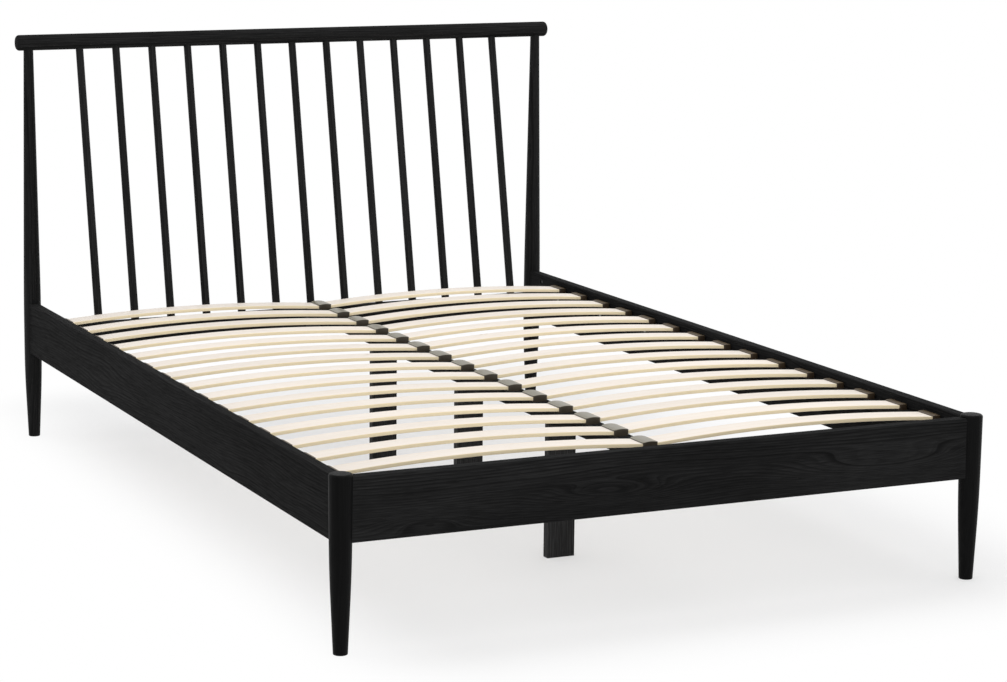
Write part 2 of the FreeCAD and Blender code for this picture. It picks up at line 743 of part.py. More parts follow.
def make_corner_plate(side):
    """A bent steel plate across an inner corner, clear of the round leg."""
    body = new_body("corner_plate_" + side_name(side))
    sketch = new_sketch(body, "plate_section", "XY_Plane")
    far = "(corner_plate_bridge + corner_plate_flange)"
    # the inner face of the bend lies one thickness in, measured along each flange
    inset = "(plate_thickness * (sqrt(2) - 1))"
    near = f"(corner_plate_bridge + {inset})"
    corners = [
        ("0", far),
        ("0", "corner_plate_bridge"),
        ("corner_plate_bridge", "0"),
        (far, "0"),
        (far, "plate_thickness"),
        (near, "plate_thickness"),
        ("plate_thickness", near),
        ("plate_thickness", far),
    ]
    if side == RIGHT:
        corners = [(f"-{across}" if across != "0" else "0", up) for across, up in corners[::-1]]
    closed_outline(sketch, corners)
    pad(body, "plate", sketch, CORNER_PLATE_HEIGHT, symmetric=False)
    reach = "(2 * plate_thickness)"
    flange_middle = "corner_plate_bridge + corner_plate_flange / 2"
    middle = f"{CORNER_PLATE_HEIGHT} / 2"
    side_start = "-plate_thickness / 2" if side == LEFT else "-3 * plate_thickness / 2"
    cylinder_feature(body, "side_hole", (side_start, flange_middle, middle), "x",
                     "plate_hole_diameter", reach)
    cylinder_feature(body, "foot_hole", (signed(-side, flange_middle), "-plate_thickness / 2",
                     middle), "y", "plate_hole_diameter", reach)
    bridge = body.newObject("PartDesign::SubtractiveCylinder", "leg_bolt_hole")
    bridge.Placement = FreeCAD.Placement(Vector(), diagonal_turn(side))
    bind(bridge, Radius="(leg_bolt_diameter + leg_bolt_play) / 2", Height="3 * plate_thickness")
    near_bridge = "(corner_plate_bridge / 2 - plate_thickness / sqrt(2))"
    place(bridge, signed(-side, near_bridge), near_bridge, middle)
    place(body, signed(side, RAIL_INNER), FOOT_RAIL_INNER, CORNER_PLATE_FOOT)


def make_beam_plate(name, face, outward):
    """A steel angle that carries one end of the beam, on the face of a rail."""
    body = new_body(name)
    sketch = new_sketch(body, "angle_section", "YZ_Plane")
    corners = [
        ("0", "-beam_plate_drop"),
        ("plate_thickness", "-beam_plate_drop"),
        ("plate_thickness", "-plate_thickness"),
        ("beam_plate_seat", "-plate_thickness"),
        ("beam_plate_seat", "0"),
        ("0", "0"),
    ]
    if outward < 0:
        corners = [(f"-{across}" if across != "0" else "0", up) for across, up in corners[::-1]]
    closed_outline(sketch, corners)
    pad(body, "angle", sketch, "beam_plate_width")
    reach = "(2 * plate_thickness)"
    start = "-plate_thickness / 2" if outward > 0 else "-3 * plate_thickness / 2"
    cylinder_feature(body, "rail_hole", ("0", start, "-beam_plate_hole_drop"), "y",
                     "plate_hole_diameter", reach)
    seat_y = signed(outward, "beam_plate_hole_reach")
    cylinder_feature(body, "beam_hole", ("0", seat_y, "-3 * plate_thickness / 2"), "z",
                     "plate_hole_diameter", reach)
    place(body, "0", face, "slat_seat_height - beam_height")


def make_rail_plate(side):
    """A steel angle that ties the lower headboard rail to a side rail, from behind."""
    body = new_body("rail_plate_" + side_name(side))
    sketch = new_sketch(body, "angle_section", "XY_Plane")
    corners = [
        ("0", "0"),
        ("rail_plate_flange", "0"),
        ("rail_plate_flange", "plate_thickness"),
        ("plate_thickness", "plate_thickness"),
        ("plate_thickness", "rail_plate_flange"),
        ("0", "rail_plate_flange"),
    ]
    if side == RIGHT:
        corners = [(f"-{across}" if across != "0" else "0", up) for across, up in corners[::-1]]
    closed_outline(sketch, corners)
    pad(body, "angle", sketch, "rail_plate_height", symmetric=False)
    reach = "(2 * plate_thickness)"
    across = "rail_plate_hole_reach"
    middle = "rail_plate_height / 2"
    side_start = "-plate_thickness / 2" if side == LEFT else "-3 * plate_thickness / 2"
    cylinder_feature(body, "side_hole", (side_start, across, middle), "x",
                     "plate_hole_diameter", reach)
    cylinder_feature(body, "rail_hole", (signed(-side, across), "-plate_thickness / 2", middle),
                     "y", "plate_hole_diameter", reach)
    place(body, signed(side, RAIL_INNER), LOWER_RAIL_BACK,
          f"{LOWER_RAIL_TOP} - lower_rail_height / 2 - rail_plate_height / 2")


def build_bed():
    """Builds every piece of the bed."""
    fill_sheet()
    for side in (LEFT, RIGHT):
        make_front_leg(side)
        make_headboard_post(side)
        make_side_rail(side)
    make_foot_rail()
    make_top_rail()
    make_lower_headboard_rail()
    for number in range(int(value("spindle_count"))):
        make_spindle(number)
    for number in range(int(value("slat_count"))):
        make_slat_pair(number)
    for side in (LEFT, RIGHT):
        make_side_caps(side)
        make_slat_bearer(side)
    make_centre_caps()
    make_centre_beam()
    make_centre_leg("centre_leg_foot", "foot_support_offset")
    make_centre_leg("centre_leg_middle", "middle_support_offset")
    make_centre_leg("centre_leg_head", "head_support_offset")
    make_post_bolts()
    make_barrel_nuts()
    for side in (LEFT, RIGHT):
        make_corner_plate(side)
        make_leg_bolt(side)
        make_rail_plate(side)
    make_beam_plate("beam_plate_foot", FOOT_RAIL_INNER, 1)
    make_beam_plate("beam_plate_head", LOWER_RAIL_FRONT, -1)
    document.recompute()


def pieces():
    return [item for item in document.Objects if item.isDerivedFrom("PartDesign::Body")]


def check_pieces():
    """Stops the build when any feature failed or any piece isn't a sound solid."""
    failed = [item.Name for item in document.Objects
              if "Invalid" in item.State or "Error" in item.State]
    if failed:
        raise RuntimeError("failed features: " + ", ".join(failed))
    for piece in pieces():
        if piece.Shape.isNull() or not piece.Shape.isValid() or not piece.Shape.Solids:
            raise RuntimeError("unsound piece: " + piece.Label)


def write_pieces():
    os.makedirs("parts", exist_ok=True)
    for piece in pieces():
        piece.Shape.exportStep(f"parts/{piece.Label}.step")


build_bed()
check_pieces()
write_pieces()
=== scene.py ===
"""Looks of the black spindle bed: turned frame, raked spindles, sprung slats and their caps."""

import logging
import math
from dataclasses import dataclass, replace
from enum import Enum
from functools import reduce
from typing import Iterable, Sequence, Union

import bmesh
import bpy
from mathutils import Matrix, Vector


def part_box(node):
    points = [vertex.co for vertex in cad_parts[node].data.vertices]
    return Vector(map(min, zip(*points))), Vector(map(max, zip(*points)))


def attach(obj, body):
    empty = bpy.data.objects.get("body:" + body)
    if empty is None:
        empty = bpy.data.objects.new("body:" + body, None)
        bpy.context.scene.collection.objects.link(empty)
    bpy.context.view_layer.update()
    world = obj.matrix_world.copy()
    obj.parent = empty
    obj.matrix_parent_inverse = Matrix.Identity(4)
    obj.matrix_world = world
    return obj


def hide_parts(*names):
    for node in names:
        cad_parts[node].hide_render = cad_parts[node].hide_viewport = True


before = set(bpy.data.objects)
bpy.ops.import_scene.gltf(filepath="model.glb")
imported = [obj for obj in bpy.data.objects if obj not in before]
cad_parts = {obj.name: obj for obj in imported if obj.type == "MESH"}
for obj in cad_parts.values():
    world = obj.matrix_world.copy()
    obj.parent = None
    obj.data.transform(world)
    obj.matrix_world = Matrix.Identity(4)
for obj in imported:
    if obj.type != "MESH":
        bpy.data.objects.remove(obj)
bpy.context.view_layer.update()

MM = 0.001
PHOTO_SIZE = (1007, 682)
BODY = "root"
LOG = logging.getLogger("spindle_bed")

Axes = tuple[float, float, float]
Colour = tuple[float, float, float]
Span = tuple[float, float]
Socket = bpy.types.NodeSocket
Feed = Union[Socket, float, int, bool, Sequence[float]]
Outline = list[tuple[float, float]]
Material = bpy.types.Material

MIDDLE: Span = (0.3, 0.7)  # where nearly all the values of a noise field lie


# Wiring of node trees -------------------------------------------------------


@dataclass
class Graph:
    """A node tree while it is wired."""

    tree: bpy.types.NodeTree

    def feed(self, socket: Socket, source: Feed) -> None:
        """Gives a socket its value, or links it to the socket that brings one.

        Args:
            socket: The input that is fed.
            source: A plain value or another node's output. A colour may leave out its alpha.
        """
        if isinstance(source, Socket):
            self.tree.links.new(source, socket)
        elif socket.type == "RGBA" and len(source) == 3:
            socket.default_value = (*source, 1.0)
        else:
            socket.default_value = source

    def add(self, kind: str, inputs: dict | None = None, **settings: object) -> bpy.types.Node:
        """Adds one node.

        Args:
            kind: The node's type name.
            inputs: What each input takes, by the input's name or place.
            settings: The node's own settings.

        Returns:
            The new node.
        """
        node = self.tree.nodes.new(kind)
        for name, setting in settings.items():
            setattr(node, name, setting)
        for key, source in (inputs or {}).items():
            self.feed(node.inputs[key], source)
        return node

    def entry(self) -> bpy.types.bpy_prop_collection:
        """Adds the node that brings the group's inputs, and gives its outputs."""
        return self.add("NodeGroupInput").outputs

    def one(self, kind: str, inputs: dict | None = None, **settings: object) -> Socket:
        """Adds one node and gives its first output."""
        return self.add(kind, inputs, **settings).outputs[0]

    def math(self, operation: str, *sources: Feed) -> Socket:
        """Adds a Math node that works on its sources in order, and gives the result."""
        return self.one("ShaderNodeMath", dict(enumerate(sources)), operation=operation)

    def times(self, *sources: Feed) -> Socket:
        """Gives the product of its sources."""
        return reduce(lambda one, other: self.math("MULTIPLY", one, other), sources)

    def plus(self, value: Feed, factor: Feed, start: Feed) -> Socket:
        """Gives a value times a factor, plus a start."""
        return self.math("MULTIPLY_ADD", value, factor, start)

    def vector(self, operation: str, *sources: Feed) -> Socket:
        """Adds a Vector Math node that works on its sources in order, and gives the result."""
        node = self.add("ShaderNodeVectorMath", dict(enumerate(sources)), operation=operation)
        return node.outputs["Value" if operation in ("LENGTH", "DOT_PRODUCT") else "Vector"]

    def scaled(self, place: Feed, factor: Feed) -> Socket:
        """Scales a vector by one factor."""
        return self.one("ShaderNodeVectorMath", {0: place, "Scale": factor}, operation="SCALE")

    def stretched(self, place: Feed, scale: Axes) -> Socket:
        """Scales a vector by a factor on each axis."""
        return self.one("ShaderNodeMapping", {"Vector": place, "Scale": scale})

    def split(self, vector: Feed) -> bpy.types.bpy_prop_collection:
        """Gives the X, Y and Z of a vector."""
        return self.add("ShaderNodeSeparateXYZ", {"Vector": vector}).outputs

    def join(self, **parts: Feed) -> Socket:
        """Makes a vector of its X, Y and Z."""
        return self.one("ShaderNodeCombineXYZ", parts)

    def noise(self, place: Feed, detail: float, seed: Feed = 0.0, scale: float = 1.0) -> Socket:
        """Gives smooth noise from 0 to 1, with a detail in octaves, its own slice and scale."""
        inputs = {"Vector": place, "W": seed, "Scale": scale, "Detail": detail}
        return self.one("ShaderNodeTexNoise", inputs, noise_dimensions="4D")

    def span(self, value: Feed, ends: Span, to: Span = (0.0, 1.0)) -> Socket:
        """Maps a value smoothly from one range to another."""
        inputs = dict(zip(("Value", "From Min", "From Max", "To Min", "To Max"),
                          (value, *ends, *to)))
        return self.one("ShaderNodeMapRange", inputs, interpolation_type="SMOOTHSTEP")

    def blend(self, factor: Feed, first: Feed, second: Feed, how: str = "MIX") -> Socket:
        """Lays a second colour over the first by a factor."""
        inputs = {0: factor, 6: first, 7: second}
        return self.add("ShaderNodeMix", inputs, data_type="RGBA", blend_type=how).outputs[2]

    def shaded(self, colour: Feed, *shades: Feed) -> Socket:
        """Darkens or lightens a colour by the product of some factors."""
        shade = self.times(*shades)
        return self.blend(1.0, colour, self.join(X=shade, Y=shade, Z=shade), "MULTIPLY")


def open_inputs(tree: bpy.types.NodeTree, inputs: dict[str, object]) -> dict[str, object]:
    """Opens the inputs of a node group or a geometry tree.

    Args:
        tree: The tree.
        inputs: The value that each starts from, which also says its type.

    Returns:
        The values by the sockets' identifiers.
    """
    values = {}
    kinds = {float: "Float", int: "Int", bpy.types.Object: "Object", Material: "Material"}
    for key, start in inputs.items():
        kind = "NodeSocket" + kinds.get(type(start), "Vector")
        socket = tree.interface.new_socket(name=key, in_out="INPUT", socket_type=kind)
        socket.default_value = start
        values[socket.identifier] = start
    return values


def group(name: str, inputs: dict[str, object], outputs: Sequence[str]) -> Graph:
    """Opens a shader node group.

    Args:
        name: The group's name.
        inputs: Its inputs with the values that they start from.
        outputs: Its value outputs.

    Returns:
        The graph.
    """
    tree = bpy.data.node_groups.new(name, "ShaderNodeTree")
    open_inputs(tree, inputs)
    for key in outputs:
        tree.interface.new_socket(name=key, in_out="OUTPUT", socket_type="NodeSocketFloat")
    return Graph(tree)


# Effects that several finishes share ----------------------------------------


@dataclass(frozen=True)
class WoodGrain:
    """Open wood grain. Scales count features per metre (along, across, depth)."""

    swell: Axes = (2.1, 8.5, 8.5)
    waver: Axes = (9.0, 45.0, 45.0)
    waver_reach: float = 0.004
    depth_share: float = 0.55
    broad_rise: Span = (0.2, 0.84)
    thin_rise: Span = (0.3, 0.84)
    ring_end: Span = (0.86, 1.0)
    year_scale: float = 0.83
    year_weight: Span = (0.35, 1.0)
    thin_count: float = 2.6
    thin_patch: Axes = (3.0, 28.0, 28.0)
    thin_patch_ends: Span = (0.38, 0.62)
    thin_weight: Span = (0.15, 0.75)
    patch_slice: float = 3.0
    pores_along: float = 22.0
    pore_ends: Span = (0.53, 0.66)
    late_pores: float = 0.45
    tone: Axes = (1.7, 11.0, 11.0)
    tone_slice: float = 7.0
    fibre: Axes = (16.0, 520.0, 520.0)

    def band(self, graph: Graph, count: Socket, rise: Span) -> Socket:
        """Gives the mask of the late wood, which darkens over its rise and ends sharply."""
        turn = graph.math("FRACT", count)
        return graph.times(graph.span(turn, rise), graph.span(turn, self.ring_end, (1.0, 0.0)))

    def build(self) -> bpy.types.NodeTree:
        """Builds the grain on a place given as (along, across, depth) in metres.

        Returns:
            A group with the masks Rings, Pores, Tone and Fibre.
        """
        inputs = {"Place": (0.0, 0.0, 0.0), "Ring Spacing": 0.007, "Whorl": 0.03,
                  "Pore Width": 0.0008, "Push": 0.0, "Seed": 0.0}
        graph = group("wood_grain", inputs, ("Rings", "Pores", "Tone", "Fibre"))
        given = graph.entry()
        place, seed = given["Place"], given["Seed"]
        across = graph.split(place)
        pushed = graph.plus(across["Z"], self.depth_share, across["Y"])
        swell = graph.noise(graph.stretched(place, self.swell), 1.0, seed)
        waver = graph.noise(graph.stretched(place, self.waver), 2.0, seed)
        for wave, reach in ((swell, given["Whorl"]), (waver, self.waver_reach)):
            pushed = graph.plus(graph.math("SUBTRACT", wave, 0.5), reach, pushed)
        pushed = graph.math("ADD", pushed, given["Push"])
        count = graph.math("DIVIDE", pushed, given["Ring Spacing"])
        year = graph.one("ShaderNodeTexNoise", {"W": graph.math("FLOOR", count),
                                                "Scale": self.year_scale}, noise_dimensions="1D")
        broad = graph.times(self.band(graph, count, self.broad_rise),
                           graph.span(year, MIDDLE, self.year_weight))
        between = graph.times(count, self.thin_count)
        patch = graph.noise(graph.stretched(place, self.thin_patch), 1.0,
                            graph.math("ADD", seed, self.patch_slice))
        thin = graph.times(self.band(graph, between, self.thin_rise),
                          graph.span(patch, self.thin_patch_ends, self.thin_weight))
        rings = graph.math("MAXIMUM", broad, thin)
        hair = graph.math("DIVIDE", 1.0, given["Pore Width"])
        fine = graph.vector("MULTIPLY", place, graph.join(X=self.pores_along, Y=hair, Z=hair))
        pores = graph.times(graph.span(graph.noise(fine, 1.0, seed), self.pore_ends),
                           graph.span(rings, (0.0, 1.0), (1.0, self.late_pores)))
        tone = graph.noise(graph.stretched(place, self.tone), 3.0,
                           graph.math("ADD", seed, self.tone_slice))
        fibre = graph.noise(graph.stretched(place, self.fibre), 3.0, seed)
        graph.add("NodeGroupOutput", dict(enumerate((rings, pores, tone, fibre))))
        return graph.tree


@dataclass(frozen=True)
class EdgeWearAndHighlight:
    """Lightened edges, partly wear and partly a painted highlight: where a bevel would turn the
    surface, broken up by noise.
    """

    samples: int = 4
    agreement: Span = (0.995, 0.86)
    break_ends: Span = (0.3, 0.65)
    break_weight: Span = (0.35, 1.0)

    def build(self) -> bpy.types.NodeTree:
        """Builds a group with the mask Edge.

        Returns:
            The group.
        """
        inputs = {"Place": (0.0, 0.0, 0.0), "Reach": 0.002, "Break Up": 60.0}
        graph = group("rubbed_edges", inputs, ("Edge",))
        given = graph.entry()
        rounded = graph.one("ShaderNodeBevel", {"Radius": given["Reach"]}, samples=self.samples)
        flat = graph.add("ShaderNodeNewGeometry").outputs["Normal"]
        edge = graph.span(graph.vector("DOT_PRODUCT", rounded, flat), self.agreement)
        patch = graph.noise(graph.scaled(given["Place"], given["Break Up"]), 3.0)
        broken = graph.span(patch, self.break_ends, self.break_weight)
        graph.add("NodeGroupOutput", {"Edge": graph.times(edge, broken)})
        return graph.tree


@dataclass(frozen=True)
class Mottle:
    """The fine mottle of moulded plastic, paint and plating. Scales count features per metre."""

    fine_scale: float = 1400.0
    broad_scale: float = 45.0

    def build(self) -> bpy.types.NodeTree:
        """Builds a group with the masks Fine and Broad.

        Returns:
            The group.
        """
        inputs = {"Place": (0.0, 0.0, 0.0), "Fine Scale": self.fine_scale}
        graph = group("fine_mottle", inputs, ("Fine", "Broad"))
        given = graph.entry()
        fine = graph.noise(graph.scaled(given["Place"], given["Fine Scale"]), 2.0)
        broad = graph.noise(given["Place"], 3.0, scale=self.broad_scale)
        graph.add("NodeGroupOutput", {"Fine": fine, "Broad": broad})
        return graph.tree


class Effects:
    """The shader node groups, each built once."""

    def __init__(self) -> None:
        """Builds every group."""
        self.grain = WoodGrain().build()
        # edges: the mask of edges lightened by wear and by a painted highlight
        self.edges = EdgeWearAndHighlight().build()
        self.mottle = Mottle().build()


# Finishes -------------------------------------------------------------------


class GrainRun(Enum):
    """Which way the grain runs: the order of axes (along, across, depth), the lean about X."""

    ACROSS_BED = ("XZY", 0.0)
    ALONG_BED = ("YZX", 0.0)
    UPRIGHT = ("ZXY", 0.0)
    RAKED = ("ZXY", 11.4)


def grey(level: float, blue: float = 0.0) -> Colour:
    """Gives a grey with a touch of blue."""
    return (level, level, level + blue)


def open_material(name: str) -> tuple[Material, Graph, bpy.types.Node]:
    """Opens a material.

    Args:
        name: Its name.

    Returns:
        The material, its graph and its Principled shader.
    """
    made = bpy.data.materials.new(name)
    made.use_nodes = True
    return made, Graph(made.node_tree), made.node_tree.nodes["Principled BSDF"]


def grain_place(graph: Graph, run: GrainRun) -> Socket:
    """Gives the place in the wood as (along, across, depth).

    Args:
        graph: The material's graph.
        run: The way of the grain.

    Returns:
        The vector in metres.
    """
    order, lean = run.value
    source = graph.add("ShaderNodeTexCoord").outputs["Object"]
    turn = (math.radians(lean), 0.0, 0.0)
    parts = graph.split(graph.one("ShaderNodeMapping", {"Vector": source, "Rotation": turn}))
    return graph.join(**{place: parts[axis] for place, axis in zip("XYZ", order)})


def bumped(graph: Graph, shader: bpy.types.Node, height: Feed, distance: float,
           strength: float) -> None:
    """Gives a shader a bump of a height from 0 to 1 times a distance in metres."""
    inputs = {"Height": height, "Distance": distance, "Strength": strength}
    graph.feed(shader.inputs["Normal"], graph.one("ShaderNodeBump", inputs))


@dataclass(frozen=True)
class Whorl:
    """Where the rings close round a buried branch: its place, reach and push, in metres."""

    along: float
    across: float
    half_length: float
    half_height: float
    push: float

    def field(self, graph: Graph, place: Socket) -> Socket:
        """Gives how far the whorl pushes the rings.

        Args:
            graph: The material's graph.
            place: The place in the wood.

        Returns:
            The push in metres.
        """
        scale = (1.0 / self.half_length, 1.0 / self.half_height, 0.0)
        start = (-self.along * scale[0], -self.across * scale[1], 0.0)
        inputs = {"Vector": place, "Location": start, "Scale": scale}
        away = graph.vector("LENGTH", graph.one("ShaderNodeMapping", inputs))
        return graph.span(away, (0.0, 1.0), (self.push, 0.0))


@dataclass(frozen=True)
class BlackStain:
    """Black stain under satin lacquer on open-grained wood."""

    name: str
    run: GrainRun
    ring_spacing: float = 0.0068
    whorl: float = 0.05
    seed: float = 3.1
    early: Colour = grey(0.0190, 0.0002)
    late: Colour = grey(0.0050, 0.0001)
    pore: Colour = grey(0.0040)
    # Edge colour: partly rubbed wear, partly a painted highlight along the rounded edges.
    wear_and_highlight: Colour = grey(0.085, -0.001)
    ring_weight: float = 0.85
    pore_weight: float = 0.6
    wear_and_highlight_weight: float = 0.6
    wear_and_highlight_reach: float = 0.0022
    fibre_shade: Span = (0.8, 1.24)
    tone_shade: Span = (0.78, 1.2)
    roughness: float = 0.62
    wear_polish: float = -0.08
    pore_dulling: float = 0.22
    tone_dulling: float = 0.08
    shine: float = 0.012
    pore_depth: float = -0.65
    ring_depth: float = -0.3
    relief: float = 0.0004
    relief_strength: float = 0.6
    whorls: tuple[Whorl, ...] = ()

    def material(self, effects: Effects) -> Material:
        """Makes the material.

        Args:
            effects: The shared node groups.

        Returns:
            The material.
        """
        made, graph, shader = open_material(self.name)
        place = grain_place(graph, self.run)
        inputs = {"Place": place, "Ring Spacing": self.ring_spacing, "Whorl": self.whorl,
                  "Seed": self.seed}
        wood = graph.add("ShaderNodeGroup", inputs, node_tree=effects.grain)
        pushes = [whorl.field(graph, place) for whorl in self.whorls]
        if pushes:
            push = reduce(lambda one, other: graph.math("ADD", one, other), pushes)
            graph.feed(wood.inputs["Push"], push)
        wear_and_highlight_inputs = {"Place": place, "Reach": self.wear_and_highlight_reach}
        edge = graph.one("ShaderNodeGroup", wear_and_highlight_inputs, node_tree=effects.edges)
        rings, pores, tone, fibre = wood.outputs
        colour = graph.blend(graph.times(rings, self.ring_weight), self.early, self.late)
        colour = graph.blend(graph.times(pores, self.pore_weight), colour, self.pore)
        colour = graph.shaded(colour, graph.span(tone, MIDDLE, self.tone_shade),
                              graph.span(fibre, MIDDLE, self.fibre_shade))
        # Edges lightened: partly wear, partly a painted highlight.
        colour = graph.blend(graph.times(edge, self.wear_and_highlight_weight), colour, self.wear_and_highlight)
        graph.feed(shader.inputs["Base Color"], colour)
        rough: Feed = self.roughness
        for mask, change in ((edge, self.wear_polish), (pores, self.pore_dulling),
                             (tone, self.tone_dulling)):
            rough = graph.plus(mask, change, rough)
        graph.feed(shader.inputs["Roughness"], rough)
        shader.inputs["Specular IOR Level"].default_value = self.shine
        height = graph.plus(rings, self.ring_depth, 1.0)
        height = graph.plus(pores, self.pore_depth, height)
        bumped(graph, shader, height, self.relief, self.relief_strength)
        return made


@dataclass(frozen=True)
class PaleLaminate:
    """Pale laminated veneer: cream faces, tan edges that show the plies. Sizes in metres."""

    name: str = "pale_slat_laminate"
    face: Colour = (0.885, 0.815, 0.745)
    figure: Colour = (0.80, 0.67, 0.50)
    edge: Colour = (0.95, 0.81, 0.55)
    glue: Colour = (0.80, 0.62, 0.40)
    knot: Colour = (0.42, 0.25, 0.12)
    half_width: float = 0.0265
    edge_band: Span = (0.0012, 0.0003)
    ply: float = 0.00114
    glue_line: Span = (0.78, 0.97)
    glue_weight: float = 0.45
    ring_spacing: float = 0.011
    whorl: float = 0.07
    pore_width: float = 0.0006
    seed: float = 11.3
    ring_weight: float = 0.34
    pore_weight: float = 0.12
    sideways: float = 0.37
    knot_grid: Axes = (5.0, 11.0, 0.0)
    knot_radius: Span = (0.018, 0.045)
    knot_rarity: float = 0.72
    knot_weight: float = 0.7
    tone_ends: Span = (0.25, 0.75)
    tone_shade: Span = (0.95, 1.03)
    slat_turn: float = 0.618
    slat_shade: Span = (0.96, 1.02)
    roughness: float = 0.46
    tone_dulling: float = 0.12
    shine: float = 0.3
    pore_depth: float = -0.5
    relief: float = 0.00015
    relief_strength: float = 0.4

    def knots(self, graph: Graph, place: Socket) -> Socket:
        """Gives the mask of a few small knots.

        Args:
            graph: The material's graph.
            place: The place on the slat, different for each.

        Returns:
            The mask.
        """
        inputs = {"Vector": graph.stretched(place, self.knot_grid), "Scale": 1.0}
        cells = graph.add("ShaderNodeTexVoronoi", inputs).outputs
        chosen = graph.math("GREATER_THAN", graph.split(cells["Color"])["X"], self.knot_rarity)
        near = graph.span(cells["Distance"], self.knot_radius, (1.0, 0.0))
        return graph.times(near, chosen, self.knot_weight)

    def plies(self, graph: Graph, place: Socket) -> tuple[Socket, Socket]:
        """Gives the mask of the slat's long edges and the colour of their plies.

        Args:
            graph: The material's graph.
            place: The place on the slat.

        Returns:
            The mask and the colour.
        """
        flat = graph.split(place)
        outer, inner = (self.half_width - depth for depth in self.edge_band)
        side = graph.span(graph.math("ABSOLUTE", flat["Y"]), (outer, inner))
        layer = graph.math("FRACT", graph.math("DIVIDE", flat["Z"], self.ply))
        joint = graph.times(graph.span(layer, self.glue_line), self.glue_weight)
        return side, graph.blend(joint, self.edge, self.glue)

    def material(self, effects: Effects) -> Material:
        """Makes the material.

        Args:
            effects: The shared node groups.

        Returns:
            The material.
        """
        made, graph, shader = open_material(self.name)
        place = graph.add("ShaderNodeAttribute", attribute_name="slat_place").outputs["Vector"]
        number = graph.add("ShaderNodeAttribute", attribute_name="slat_number").outputs["Fac"]
        moved = graph.join(X=number, Y=graph.times(number, self.sideways))
        own = graph.vector("ADD", place, moved)
        inputs = {"Place": own, "Ring Spacing": self.ring_spacing, "Whorl": self.whorl,
                  "Pore Width": self.pore_width, "Seed": self.seed}
        wood = graph.add("ShaderNodeGroup", inputs, node_tree=effects.grain)
        rings, pores, tone, _ = wood.outputs
        colour = graph.blend(graph.times(rings, self.ring_weight), self.face, self.figure)
        colour = graph.blend(graph.times(pores, self.pore_weight), colour, self.figure)
        colour = graph.blend(self.knots(graph, own), colour, self.knot)
        side, plies = self.plies(graph, place)
        colour = graph.blend(side, colour, plies)
        turn = graph.math("FRACT", graph.times(number, self.slat_turn))
        colour = graph.shaded(colour, graph.span(tone, self.tone_ends, self.tone_shade),
                              graph.span(turn, (0.0, 1.0), self.slat_shade))
        graph.feed(shader.inputs["Base Color"], colour)
        rough = graph.plus(tone, self.tone_dulling, self.roughness)
        graph.feed(shader.inputs["Roughness"], rough)
        shader.inputs["Specular IOR Level"].default_value = self.shine
        height = graph.plus(pores, self.pore_depth, 1.0)
        bumped(graph, shader, height, self.relief, self.relief_strength)
        return made


@dataclass(frozen=True)
class Moulded:
    """Moulded plastic, paint or plating: one colour with a fine mottle, edges lit by wear and a
    painted highlight, and a painted sheen on upward faces where upper is given.
    """

    name: str
    colour: Colour
    broad: Colour
    # Edge colour: partly rubbed wear, partly a painted highlight.
    wear_and_highlight: Colour
    roughness: float
    # upper: a painted sheen, the colour that upward faces are lightened to in place of the
    # reflection of the bright surroundings
    upper: Colour | None = None
    shine: float = 0.4
    metallic: float = 0.0
    grain: float = 1400.0
    broad_ends: Span = (0.35, 0.7)
    sheen_facing_ends: Span = (0.35, 0.95)
    sheen_weight: Span = (0.8, 1.0)
    wear_and_highlight_reach: float = 0.0009
    wear_and_highlight_weight: float = 0.5
    dulling: float = 0.14
    relief: float = 0.00006
    relief_strength: float = 0.5

    def material(self, effects: Effects) -> Material:
        """Makes the material.

        Args:
            effects: The shared node groups.

        Returns:
            The material.
        """
        made, graph, shader = open_material(self.name)
        place = graph.add("ShaderNodeTexCoord").outputs["Object"]
        inputs = {"Place": place, "Fine Scale": self.grain}
        fine, broad = graph.add("ShaderNodeGroup", inputs, node_tree=effects.mottle).outputs
        wear_and_highlight_inputs = {"Place": place, "Reach": self.wear_and_highlight_reach}
        edge = graph.one("ShaderNodeGroup", wear_and_highlight_inputs, node_tree=effects.edges)
        colour = graph.blend(graph.span(broad, self.broad_ends), self.colour, self.broad)
        # Painted sheen: faces turned up are lightened towards the upper colour, in place of the
        # reflection of the white surroundings on the tops.
        if self.upper:
            facing = graph.split(graph.add("ShaderNodeNewGeometry").outputs["Normal"])["Z"]
            painted_top_sheen = graph.times(graph.span(facing, self.sheen_facing_ends),
                                 graph.span(fine, MIDDLE, self.sheen_weight))
            colour = graph.blend(painted_top_sheen, colour, self.upper)
        # Edges lightened: partly wear, partly a painted highlight.
        colour = graph.blend(graph.times(edge, self.wear_and_highlight_weight), colour, self.wear_and_highlight)
        graph.feed(shader.inputs["Base Color"], colour)
        least = self.roughness - self.dulling / 2
        rough = graph.plus(broad, self.dulling, least)
        graph.feed(shader.inputs["Roughness"], rough)
        shader.inputs["Specular IOR Level"].default_value = self.shine
        shader.inputs["Metallic"].default_value = self.metallic
        bumped(graph, shader, fine, self.relief, self.relief_strength)
        return made


FOOT_PLANK_WHORLS = (
    Whorl(-0.135, 0.262, 0.230, 0.036, 0.027),
    Whorl(-0.531, 0.244, 0.170, 0.032, -0.025),
    Whorl(0.478, 0.262, 0.360, 0.052, 0.041),
)


